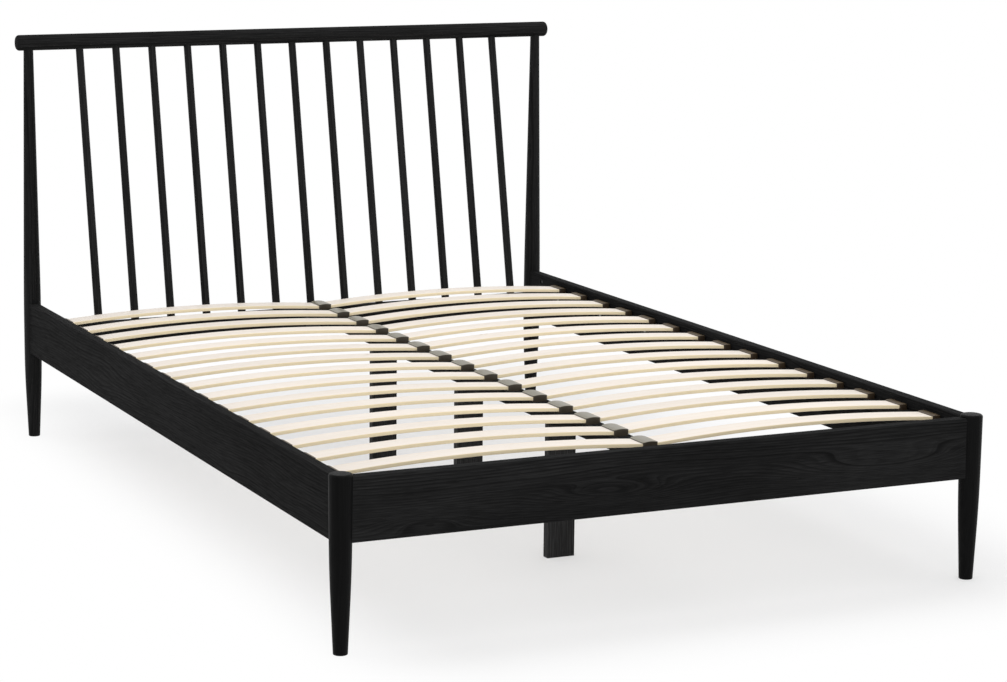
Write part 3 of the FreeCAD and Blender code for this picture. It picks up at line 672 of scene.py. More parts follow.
class Finishes:
    """Every material of the bed, made once."""

    def __init__(self, effects: Effects) -> None:
        """Makes the materials.

        Args:
            effects: The shared node groups.
        """
        self.foot_plank = BlackStain(
            "black_stain_foot_plank", GrainRun.ACROSS_BED, ring_spacing=0.0060, whorl=0.040,
            early=grey(0.0172, 0.0002), whorls=FOOT_PLANK_WHORLS).material(effects)
        self.across = BlackStain("black_stain_across", GrainRun.ACROSS_BED, whorl=0.03, seed=5.7,
                                 early=grey(0.0235, 0.0002)).material(effects)
        along = BlackStain("black_stain_along", GrainRun.ALONG_BED, whorl=0.09, seed=9.4)
        self.along = along.material(effects)
        # The uprights' edge colour is partly wear, partly a painted highlight.
        upright = BlackStain(
            "black_stain_legs", GrainRun.UPRIGHT, ring_spacing=0.0055, whorl=0.02, seed=1.9,
            early=grey(0.0034, 0.0001), late=grey(0.0014, 0.0001), wear_and_highlight=grey(0.020),
            roughness=0.42, shine=0.06)
        self.legs = upright.material(effects)
        self.posts = replace(upright, name="black_stain_posts", early=grey(0.0120, 0.0002),
                             seed=4.4).material(effects)
        # The struts' copy of the stain is painted lighter, to make up for the shade that falls on
        # them under the slat base.
        self.struts = replace(upright, name="black_stain_struts", early=grey(0.036, 0.0005),
                              late=grey(0.011), seed=6.8).material(effects)
        self.raked = replace(
            upright, name="black_stain_raked", run=GrainRun.RAKED, ring_spacing=0.0045,
            whorl=0.015, seed=2.6, early=grey(0.0175, 0.0002),
            late=grey(0.0032, 0.0001)).material(effects)
        self.slats = PaleLaminate().material(effects)
        # Each moulding's third colour lightens its edges, partly wear and partly a painted
        # highlight; a cap's last colour is a painted sheen on its upward faces.
        self.centre_caps = Moulded(
            "centre_cap_moulding", (0.046, 0.037, 0.026), (0.058, 0.047, 0.034),
            (0.20, 0.19, 0.15), 0.32, (0.235, 0.215, 0.165), shine=0.3).material(effects)
        self.side_caps = Moulded(
            "side_cap_moulding", (0.030, 0.020, 0.012), (0.044, 0.029, 0.016),
            (0.12, 0.08, 0.04), 0.42, (0.070, 0.046, 0.021), shine=0.22).material(effects)
        self.plates = Moulded("plate_black_paint", grey(0.020, 0.001), grey(0.028, 0.001),
                              grey(0.10), 0.4, grain=700.0).material(effects)
        self.bolts = Moulded("bolt_dark_plating", grey(0.22, 0.005), grey(0.30), grey(0.5),
                             0.34, metallic=1.0, grain=900.0).material(effects)


# Meshes ---------------------------------------------------------------------


def eased(corners: Sequence[Axes], steps: int) -> Outline:
    """Rounds the corners of an outline with arcs.

    Args:
        corners: Each corner as (along, radius, length of the rounding to each side), in mm.
        steps: Pieces in each arc.

    Returns:
        The outline's points in metres.
    """
    points: Outline = []
    places = [Vector((along * MM, out * MM)) for along, out, _ in corners]
    for number, corner in enumerate(places):
        ease = corners[number][2] * MM
        if not ease:
            points.append(tuple(corner))
            continue
        back = (places[number - 1] - corner).normalized()
        ahead = (places[number + 1] - corner).normalized()
        half = back.angle(ahead) / 2
        middle = corner + (back + ahead).normalized() * ease / math.cos(half)
        start, end = corner + back * ease - middle, corner + ahead * ease - middle
        turn = start.angle_signed(end)
        for step in range(steps + 1):
            arm = Matrix.Rotation(-turn * step / steps, 2) @ start
            points.append(tuple(middle + arm))
    return points


def turned(name: str, outline: Outline, place: Vector, axis: str,
           segments: int = 96) -> bpy.types.Mesh:
    """Turns an outline about an axis.

    Args:
        name: The mesh's name.
        outline: Points (along, radius) that start and end on the axis.
        place: Where the axis starts.
        axis: X or Z.
        segments: Faces round the piece.

    Returns:
        The closed mesh.
    """
    turn = Matrix.Rotation(math.pi / 2, 4, "Y") if axis == "X" else Matrix.Identity(4)
    frame_of = Matrix.Translation(place) @ turn
    angles = [math.tau * part / segments for part in range(segments)]
    shape = bmesh.new()
    rings = []
    for along, out in outline:
        ring = [Vector((out * math.cos(angle), out * math.sin(angle), along)) for angle in angles]
        if out < 1e-9:
            ring = [Vector((0.0, 0.0, along))]
        rings.append([shape.verts.new(frame_of @ point) for point in ring])
    for low, high in zip(rings, rings[1:]):
        for part in range(segments):
            after = (part + 1) % segments
            corners = [ring[spot % len(ring)] for ring, spot in
                       ((low, part), (low, after), (high, after), (high, part))]
            shape.faces.new(list(dict.fromkeys(corners)))
    bmesh.ops.recalc_face_normals(shape, faces=shape.faces)
    return closed_mesh(name, shape)


def closed_mesh(name: str, shape: bmesh.types.BMesh, crease: float = 32.0) -> bpy.types.Mesh:
    """Turns mesh data into a smooth mesh with its sharp edges kept.

    Args:
        name: The mesh's name.
        shape: The data, freed here.
        crease: The angle in degrees past which an edge stays sharp.

    Returns:
        The mesh.
    """
    for face in shape.faces:
        face.smooth = True
    for edge in shape.edges:
        edge.smooth = not edge.is_manifold or edge.calc_face_angle(0.0) < math.radians(crease)
    mesh = bpy.data.meshes.new(name)
    shape.to_mesh(mesh)
    shape.free()
    return mesh


def scratch(name: str, mesh: bpy.types.Mesh) -> bpy.types.Object:
    """Makes an object for work in progress.

    Args:
        name: Its name.
        mesh: Its mesh.

    Returns:
        The object, in the scene.
    """
    made = bpy.data.objects.new(name, mesh)
    bpy.context.scene.collection.objects.link(made)
    return made


def plain(source: bpy.types.Object, name: str) -> bpy.types.Mesh:
    """Gives what an object's modifiers make as a plain mesh, and removes the object.

    Args:
        source: The object with its modifiers.
        name: The new mesh's name.

    Returns:
        The mesh.
    """
    depsgraph = bpy.context.evaluated_depsgraph_get()
    mesh = bpy.data.meshes.new_from_object(source.evaluated_get(depsgraph))
    mesh.name = name
    bpy.data.objects.remove(source)
    return mesh


def block(low: Sequence[float], high: Sequence[float]) -> bpy.types.Mesh:
    """Makes a box.

    Args:
        low: Its lowest corner.
        high: Its highest corner.

    Returns:
        Its mesh.
    """
    shape = bmesh.new()
    sizes = [b - a for a, b in zip(low, high)]
    middle = Matrix.Translation([(a + b) / 2 for a, b in zip(low, high)])
    bmesh.ops.create_cube(shape, size=1.0, matrix=middle @ Matrix.Diagonal((*sizes, 1.0)))
    return closed_mesh("block", shape)


def cut(mesh: bpy.types.Mesh, cutters: Iterable[bpy.types.Mesh]) -> bpy.types.Mesh:
    """Cuts shapes out of a mesh.

    Args:
        mesh: The mesh that is cut.
        cutters: The shapes to take away.

    Returns:
        The cut mesh.
    """
    work = scratch("cut_work", mesh)
    tools = [scratch("cut_tool", tool) for tool in cutters]
    for tool in tools:
        step = work.modifiers.new("cut", "BOOLEAN")
        step.operation, step.solver, step.object = "DIFFERENCE", "EXACT", tool
    bpy.context.view_layer.update()
    made = plain(work, mesh.name)
    for tool in tools:
        bpy.data.objects.remove(tool)
    shape = bmesh.new()
    shape.from_mesh(made)
    bmesh.ops.remove_doubles(shape, verts=shape.verts, dist=1e-6)
    return closed_mesh(mesh.name, shape)


def finished(name: str, mesh: bpy.types.Mesh, material: Material,
             nodes: Sequence[str]) -> None:
    """Makes the finished piece that stands for CAD nodes.

    Args:
        name: The piece's name.
        mesh: Its mesh, in place.
        material: Its finish.
        nodes: The CAD nodes that it stands for.
    """
    mesh.materials.clear()
    mesh.materials.append(material)
    piece = scratch(name, mesh)
    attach(piece, BODY)
    if nodes:
        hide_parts(*nodes)
    LOG.info("%s: %d faces, stands for %s", name, len(mesh.polygons),
             ", ".join(nodes) or "itself")


def dress(nodes: Iterable[str], material: Material) -> None:
    """Gives CAD nodes their finish.

    Args:
        nodes: The nodes' names.
        material: The finish.
    """
    for name in nodes:
        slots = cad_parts[name].data.materials
        slots.clear()
        slots.append(material)
        LOG.info("%s: CAD solid with %s", name, material.name)


def centre(node: str) -> Vector:
    """Gives the middle of a CAD node's box."""
    low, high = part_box(node)
    return (low + high) / 2


def both(name: str) -> list[str]:
    """Gives the names of the left and the right one of a pair."""
    return [f"{name}_left", f"{name}_right"]


# Geometry node trees --------------------------------------------------------


class Tree(Graph):
    """A geometry node tree with named inputs, run on one object."""

    def __init__(self, name: str, inputs: dict[str, object], material: Material) -> None:
        """Opens the tree.

        Args:
            name: The tree's name.
            inputs: Each input's value.
            material: What its shape is made of.
        """
        super().__init__(bpy.data.node_groups.new(name, "GeometryNodeTree"))
        for way in ("INPUT", "OUTPUT"):
            self.tree.interface.new_socket(name="Geometry", in_out=way,
                                           socket_type="NodeSocketGeometry")
        self.values = open_inputs(self.tree, {**inputs, "Material": material})
        self.given = self.entry()

    def repeated(self, points: Socket, shape: Socket, **inputs: Feed) -> Socket:
        """Sets a shape on each of some points."""
        return self.one("GeometryNodeInstanceOnPoints",
                        {"Points": points, "Instance": shape, **inputs})

    def close(self, shape: Socket) -> None:
        """Realizes the instances, sets the material and ends the tree.

        Args:
            shape: The geometry that the tree has made.
        """
        real = self.one("GeometryNodeRealizeInstances", {"Geometry": shape})
        dressed = self.one("GeometryNodeSetMaterial",
                           {"Geometry": real, "Material": self.given["Material"]})
        smooth = self.one("GeometryNodeSetShadeSmooth", {0: dressed, "Shade Smooth": True})
        self.add("NodeGroupOutput", {"Geometry": smooth})

    def run(self, name: str, base: bpy.types.Mesh | None = None) -> bpy.types.Mesh:
        """Runs the tree once.

        Args:
            name: The mesh's name.
            base: The mesh that the tree works on, where it needs one.

        Returns:
            The plain mesh that it makes.
        """
        holder = scratch(name + "_holder", base or bpy.data.meshes.new(name + "_holder"))
        step = holder.modifiers.new("build", "NODES")
        step.node_group = self.tree
        for identifier, start in self.values.items():
            step[identifier] = start
        bpy.context.view_layer.update()
        return plain(holder, name)


def slat_tree(sizes: "SlatBase", material: Material) -> Tree:
    """Builds the tree that makes two columns of bowed slats.

    Args:
        sizes: The slats' sizes.
        material: Their finish.

    Returns:
        The tree.
    """
    low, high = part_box("slat_pair_01")
    first, last = (low.y + high.y) / 2, centre(f"slat_pair_{sizes.rows:02d}").y
    inner, thickness = sizes.inner_gap * MM, sizes.thickness * MM
    tree = Tree("slat_rows", {
        "Count": sizes.rows,
        "First Row": (0.0, first, low.z),
        "Row Step": (0.0, (last - first) / (sizes.rows - 1), 0.0),
        "Inner End": inner,
        "Length": high.x - inner,
        "Width": high.y - low.y,
        "Thickness": thickness,
        "Crown": high.z - low.z - thickness,
        "Edge Round": sizes.edge_round * MM,
    }, material)
    given = tree.given
    line = tree.one("GeometryNodeCurvePrimitiveLine", {"End": tree.join(X=given["Length"])})
    path = tree.one("GeometryNodeResampleCurve", {"Curve": line, "Count": sizes.bow_points})
    section = tree.one("GeometryNodeCurvePrimitiveQuadrilateral",
                       {"Width": given["Width"], "Height": given["Thickness"]})
    rounding = {"Curve": section, "Radius": given["Edge Round"], "Count": sizes.edge_points}
    soft = tree.one("GeometryNodeFilletCurve", rounding, mode="POLY")
    bar = tree.one("GeometryNodeCurveToMesh",
                   {"Curve": path, "Profile Curve": soft, "Fill Caps": True})
    place = tree.one("GeometryNodeInputPosition")
    named = tree.one("GeometryNodeStoreNamedAttribute",
                     {"Geometry": bar, "Name": "slat_place", "Value": place},
                     data_type="FLOAT_VECTOR", domain="POINT")
    part = tree.math("DIVIDE", tree.split(place)["X"], given["Length"])
    bow = tree.times(part, tree.math("SUBTRACT", 1.0, part))
    bow = tree.times(bow, 4.0)
    half = tree.math("DIVIDE", given["Thickness"], 2.0)
    rise = tree.plus(bow, given["Crown"], half)
    slat = tree.one("GeometryNodeSetPosition",
                    {"Geometry": named, "Offset": tree.join(X=given["Inner End"], Z=rise)})
    rows = tree.one("GeometryNodeMeshLine", {"Count": given["Count"], "Offset": given["Row Step"],
                                             "Start Location": given["First Row"]})
    columns = tree.add("GeometryNodeJoinGeometry")
    for number, turn in enumerate((0.0, math.pi)):
        column = tree.repeated(rows, slat, Rotation=(0.0, 0.0, turn))
        index = tree.one("GeometryNodeInputIndex")
        count = tree.plus(index, 2.0, float(number) + 1.0)
        numbered = tree.one("GeometryNodeStoreNamedAttribute",
                            {"Geometry": column, "Name": "slat_number", "Value": count},
                            data_type="FLOAT", domain="INSTANCE")
        tree.feed(columns.inputs[0], numbered)
    tree.close(columns.outputs[0])
    return tree


def rod_tree(sizes: "Headboard", material: Material) -> Tree:
    """Builds the tree that makes the raked spindles.

    Args:
        sizes: The headboard's sizes.
        material: Their finish.

    Returns:
        The tree.
    """
    first, last = centre("spindle_01").x, centre(f"spindle_{sizes.spindles:02d}").x
    foot, head = sizes.spindle_ends()
    tree = Tree("spindle_row", {
        "Count": sizes.spindles,
        "Foot": (first, foot.y, foot.z),
        "Head": (first, head.y, head.z),
        "Step": ((last - first) / (sizes.spindles - 1), 0.0, 0.0),
        "Foot Radius": sizes.spindle_foot_diameter * MM / 2,
        "Head Radius": sizes.spindle_head_diameter * MM / 2,
    }, material)
    given = tree.given
    line = tree.one("GeometryNodeCurvePrimitiveLine",
                    {"Start": given["Foot"], "End": given["Head"]})
    path = tree.one("GeometryNodeResampleCurve", {"Curve": line, "Count": sizes.rod_points})
    part = tree.add("GeometryNodeSplineParameter").outputs["Factor"]
    widths = {"Value": part, "To Min": given["Foot Radius"], "To Max": given["Head Radius"]}
    taper = tree.one("ShaderNodeMapRange", widths)
    ring = tree.one("GeometryNodeCurvePrimitiveCircle",
                    {"Resolution": sizes.rod_segments, "Radius": 1.0})
    rod = tree.one("GeometryNodeCurveToMesh", {"Curve": path, "Profile Curve": ring,
                                               "Scale": taper, "Fill Caps": True})
    row = tree.one("GeometryNodeMeshLine", {"Count": given["Count"], "Offset": given["Step"]})
    tree.close(tree.repeated(row, rod))
    return tree


def screw_tree(mould: bpy.types.Object, material: Material) -> Tree:
    """Builds the tree that sets a screw on every point, turned to the way that it faces.

    Args:
        mould: The screw head, facing up.
        material: Its finish.

    Returns:
        The tree.
    """
    tree = Tree("screw_set", {"Mould": mould, "Twist": 0.7, "Seed": 5}, material)
    given = tree.given
    facing = tree.one("GeometryNodeInputNamedAttribute", {"Name": "facing"},
                      data_type="FLOAT_VECTOR")
    upright = tree.one("FunctionNodeAlignRotationToVector", {"Vector": facing}, axis="Z")
    least = tree.times(given["Twist"], -1.0)
    ends = {"Min": least, "Max": given["Twist"], "Seed": given["Seed"]}
    twist = tree.add("FunctionNodeRandomValue", data_type="FLOAT")
    for socket in twist.inputs:
        if socket.enabled and socket.name in ends:
            tree.feed(socket, ends[socket.name])
    spin = tree.join(Z=next(one for one in twist.outputs if one.enabled))
    turned_by = tree.one("FunctionNodeRotateRotation", {"Rotation": upright, "Rotate By": spin},
                         rotation_space="LOCAL")
    head = tree.add("GeometryNodeObjectInfo", {"Object": given["Mould"]}).outputs["Geometry"]
    tree.close(tree.repeated(given["Geometry"], head, Rotation=turned_by))
    return tree


def row_tree(mould: bpy.types.Object, first: Vector, step: Vector, count: int,
             material: Material) -> Tree:
    """Builds the tree that sets a moulding out in a row.

    Args:
        mould: The object that is repeated.
        first: The place of the first one.
        step: The way from each to the next.
        count: How many there are.
        material: Their finish.

    Returns:
        The tree.
    """
    tree = Tree("cap_row", {"Mould": mould, "First": tuple(first), "Step": tuple(step),
                            "Count": count}, material)
    given = tree.given
    row = tree.one("GeometryNodeMeshLine", {"Count": given["Count"], "Offset": given["Step"],
                                            "Start Location": given["First"]})
    cap = tree.add("GeometryNodeObjectInfo", {"Object": given["Mould"]}).outputs["Geometry"]
    tree.close(tree.repeated(row, cap))
    return tree


# Sub-assemblies -------------------------------------------------------------


@dataclass
class Assembly:
    """A sub-assembly of the bed, with the bed's finishes."""

    finishes: Finishes


@dataclass
class Turning(Assembly):
    """A turned leg or post with a slim foot and a soft knee. Sizes in millimetres."""

    foot_diameter: float = 28.5
    foot_ease: float = 1.6
    knee_height: float = 165.0
    knee_blend: float = 60.0
    knee_diameter: float = 43.4
    arc_steps: int = 8

    def turning(self, name: str, foot: Vector, upper: Sequence[Axes]) -> bpy.types.Mesh:
        """Turns one leg or post about its upright axis.

        Args:
            name: The mesh's name.
            foot: The middle of its foot.
            upper: The outline's corners above the knee.

        Returns:
            Its mesh.
        """
        outline = eased([(0.0, 0.0, 0.0), (0.0, self.foot_diameter / 2, self.foot_ease),
                         (self.knee_height, self.knee_diameter / 2, self.knee_blend), *upper,
                         (upper[-1][0], 0.0, 0.0)], self.arc_steps)
        return turned(name, outline, foot, "Z")


@dataclass
class Legs(Turning):
    """The two front legs. Sizes in millimetres."""

    top_diameter: float = 46.5
    rim_ease: float = 5.2

    def build(self) -> None:
        """Builds and dresses both legs."""
        for node in both("front_leg"):
            low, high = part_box(node)
            middle, name = centre(node), node + "_turning"
            rim = ((high.z - low.z) / MM, self.top_diameter / 2, self.rim_ease)
            mesh = self.turning(name, Vector((middle.x, middle.y, low.z)), [rim])
            finished(name, mesh, self.finishes.legs, [node])


@dataclass
class Headboard(Turning):
    """Posts, round top rail, raked spindles and lower rail. Sizes in millimetres."""

    knee_diameter: float = 43.0
    shoulder_height: float = 352.0
    shoulder_blend: float = 60.0
    post_top_diameter: float = 24.0
    top_rail_diameter: float = 39.0
    top_rail_axis: float = 997.0
    top_rail_ease: float = 8.5
    end_steps: int = 12
    bore_depth: float = 7.0
    bore_diameter: float = 14.0
    bore_heights: tuple[float, float] = (233.4, 323.6)
    bore_segments: int = 32
    spindles: int = 13
    spindle_foot_diameter: float = 20.0
    spindle_head_diameter: float = 18.9
    rod_points: int = 25
    rod_segments: int = 40

    def spindle_ends(self) -> tuple[Vector, Vector]:
        """Gives the ends of a spindle's axis, in metres.

        Returns:
            The foot and the head, from the CAD node's box.
        """
        low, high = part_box("spindle_01")
        lean = math.atan2(high.y - low.y, high.z - low.z)
        radius = self.spindle_foot_diameter * MM / 2
        inset = Vector((0.0, radius * math.cos(lean), radius * math.sin(lean)))
        foot, head = Vector((0.0, low.y, low.z)), Vector((0.0, high.y, high.z))
        return foot + inset, head - inset

    def bore(self, mouth: Vector) -> bpy.types.Mesh:
        """Makes the cutter for one bolt head.

        Args:
            mouth: Where its axis meets the back of the post.

        Returns:
            The cutter's mesh.
        """
        radius, depth = self.bore_diameter * MM / 2, 2 * self.bore_depth * MM
        shape = bmesh.new()
        turn = Matrix.Translation(mouth) @ Matrix.Rotation(math.pi / 2, 4, "X")
        bmesh.ops.create_cone(shape, cap_ends=True, segments=self.bore_segments, matrix=turn,
                              radius1=radius, radius2=radius, depth=depth)
        return closed_mesh("bore", shape)

    def build_posts(self) -> None:
        """Builds the posts, with counterbores for the bolt heads in their backs."""
        underside = self.top_rail_axis - self.top_rail_diameter / 2
        radius = self.post_top_diameter / 2
        for node in both("headboard_post"):
            low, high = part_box(node)
            across, along, name = centre(node).x, centre("top_rail").y, node + "_turning"
            mesh = self.turning(name, Vector((across, along, low.z)), [
                (self.shoulder_height, self.knee_diameter / 2, self.shoulder_blend),
                (underside, radius, 0.0), (high.z / MM, radius, 0.0)])
            bores = [self.bore(Vector((across, high.y, height * MM)))
                     for height in self.bore_heights]
            finished(name, cut(mesh, bores), self.finishes.posts, [node])

    def build(self) -> None:
        """Builds and dresses the headboard."""
        self.build_posts()
        low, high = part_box("top_rail")
        radius, ease, length = self.top_rail_diameter / 2, self.top_rail_ease, (high.x - low.x) / MM
        outline = eased([(0.0, 0.0, 0.0), (0.0, radius, ease), (length, radius, ease),
                         (length, 0.0, 0.0)], self.end_steps)
        start = Vector((low.x, centre("top_rail").y, self.top_rail_axis * MM))
        mesh = turned("top_rail_turning", outline, start, "X")
        finished("top_rail_turning", mesh, self.finishes.across, ["top_rail"])
        nodes = [f"spindle_{number:02d}" for number in range(1, self.spindles + 1)]
        rods = rod_tree(self, self.finishes.raked).run("spindle_rods")
        finished("spindle_rods", rods, self.finishes.raked, nodes)
        dress(["lower_headboard_rail"], self.finishes.across)


@dataclass
class Rails(Assembly):
    """The foot rail and the side rails: solid planks with eased edges."""

    def build(self) -> None:
        """Dresses the planks, which are right as solids."""
        dress(["foot_rail"], self.finishes.foot_plank)
        dress(both("side_rail"), self.finishes.along)


@dataclass
class SlatBase(Assembly):
    """Sprung slats, their caps, the bearers, the beam and its legs. Sizes in millimetres."""

    rows: int = 15
    inner_gap: float = 2.5
    thickness: float = 8.0
    edge_round: float = 1.6
    edge_points: int = 4
    bow_points: int = 49
    cap_floor: float = 1.2
    cap_wall: float = 2.0
    cap_roof: float = 1.1
    cap_slot_height: float = 9.9
    cap_slot_width: float = 54.0
    slot_overrun: float = 5.0
    corner_round: float = 6.0
    corner_pieces: int = 5
    side_pieces: int = 14
    rim_round: float = 1.1
    wall_round: float = 5.0
    insets: tuple[float, ...] = (0.0, 0.12, 0.4, 0.8, 1.1, 3.0, 5.5, 8.0, 10.5)

    def cap_plan(self, half: float, inset: float) -> Outline:
        """Gives a cap's outline seen from above: a rectangle with round corners.

        Args:
            half: Half of the cap's length across the bed, in metres.
            inset: How far the outline is drawn in, in metres.

        Returns:
            Its points (across, along) in metres, anticlockwise.
        """
        wide, long = half - inset, (self.cap_slot_width / 2 + self.cap_wall) * MM - inset
        radius = max(self.corner_round * MM - inset, 0.0)
        reach = wide - radius
        points: Outline = []
        for quarter, (turn_x, turn_y) in enumerate(((1, 1), (-1, 1), (-1, -1), (1, -1))):
            for part in range(self.corner_pieces + 1):
                angle = math.pi / 2 * (quarter + part / self.corner_pieces)
                points.append((turn_x * reach + radius * math.cos(angle),
                               turn_y * (long - radius) + radius * math.sin(angle)))
            if quarter in (0, 2):
                points += [(turn_x * reach * (1.0 - 2.0 * part / self.side_pieces), turn_y * long)
                           for part in range(1, self.side_pieces)]
        return points

    def cap_top(self, across: float, inset: float, size: Span, wall_side: int) -> float:
        """Gives the height of a cap's top: a low dome, a soft rim and a rounded closed side.

        Args:
            across: The place across the bed from the cap's middle, in metres.
            inset: How far it lies inside the rim, in millimetres.
            size: Half of the cap's length and its full height, in metres.
            wall_side: -1 or 1 for the side that is closed and rounded down, 0 for none.

        Returns:
            The height in metres.
        """
        half, height = size
        shoulder = (self.cap_floor + self.cap_slot_height + self.cap_roof) * MM
        rise = shoulder + (height - shoulder) * (1.0 - (across / half) ** 2)
        if wall_side:
            turn_down = self.wall_round * MM
            fall = max(0.0, turn_down - half + across * wall_side)
            rise += math.sqrt(turn_down ** 2 - fall ** 2) - turn_down
        edge = max(0.0, 1.0 - inset / self.rim_round)
        return rise - self.rim_round * MM * (1.0 - math.sqrt(1.0 - edge * edge))

    def cap_mould(self, node: str, mouths: Sequence[Span], wall_side: int) -> bpy.types.Object:
        """Makes one cap about the middle of its base: a shell under a low dome.

        Args:
            node: The CAD node whose caps it stands for.
            mouths: The start and end of each slot, in metres from the middle.
            wall_side: -1 or 1 for the side that is closed and rounded down, 0 for none.

        Returns:
            The mould, as an object.
        """
        low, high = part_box(node)
        size = ((high.x - low.x) / 2, high.z - low.z)
        shape = bmesh.new()
        loops = [[shape.verts.new((x, y, 0.0)) for x, y in self.cap_plan(size[0], 0.0)]]
        for inset in self.insets:
            plan = self.cap_plan(size[0], inset * MM)
            loops.append([shape.verts.new((x, y, self.cap_top(x, inset, size, wall_side)))
                          for x, y in plan])
        for lower, upper in zip(loops, loops[1:]):
            for place, start in enumerate(lower):
                after = (place + 1) % len(lower)
                shape.faces.new((start, lower[after], upper[after], upper[place]))
        shape.faces.new(loops[0][::-1])
        shape.faces.new(loops[-1])
        bmesh.ops.remove_doubles(shape, verts=shape.verts, dist=1e-6)
        bmesh.ops.recalc_face_normals(shape, faces=shape.faces)
        name = node + "_mould"
        mesh = closed_mesh(name, shape)
        side, floor = self.cap_slot_width * MM / 2, self.cap_floor * MM
        top = (self.cap_floor + self.cap_slot_height) * MM
        slots = [block((start, -side, floor), (end, side, top)) for start, end in mouths]
        return scratch(name, cut(mesh, slots))

    def build_caps(self) -> None:
        """Builds the three rows of caps."""
        first = centre("slat_pair_01")
        step = (centre(f"slat_pair_{self.rows:02d}") - first) / (self.rows - 1)
        wall, past = self.cap_wall * MM, self.slot_overrun * MM
        for node, wall_side in (("side_caps_left", -1), ("side_caps_right", 1), ("centre_caps", 0)):
            low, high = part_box(node)
            half = (high.x - low.x) / 2
            mouths = {-1: [(-half + wall, half + past)],
                      0: [(-half - past, -wall / 2), (wall / 2, half + past)],
                      1: [(-half - past, half - wall)]}[wall_side]
            material = self.finishes.side_caps if wall_side else self.finishes.centre_caps
            mould = self.cap_mould(node, mouths, wall_side)
            start = Vector(((low.x + high.x) / 2, first.y, low.z))
            row = row_tree(mould, start, Vector((0.0, step.y, 0.0)), self.rows, material)
            mesh = row.run(node + "_row")
            bpy.data.objects.remove(mould)
            finished(node + "_row", mesh, material, [node])

    def build(self) -> None:
        """Builds and dresses the slat base."""
        nodes = [f"slat_pair_{number:02d}" for number in range(1, self.rows + 1)]
        mesh = slat_tree(self, self.finishes.slats).run("slats_bowed")
        finished("slats_bowed", mesh, self.finishes.slats, nodes)
        self.build_caps()
        dress([*both("slat_bearer"), "centre_beam"], self.finishes.along)
        dress(["centre_leg_foot", "centre_leg_middle", "centre_leg_head"], self.finishes.struts)


Place = tuple[Vector, Vector]
AHEAD, BACK, DOWN = Vector((0, 1, 0)), Vector((0, -1, 0)), Vector((0, 0, -1))


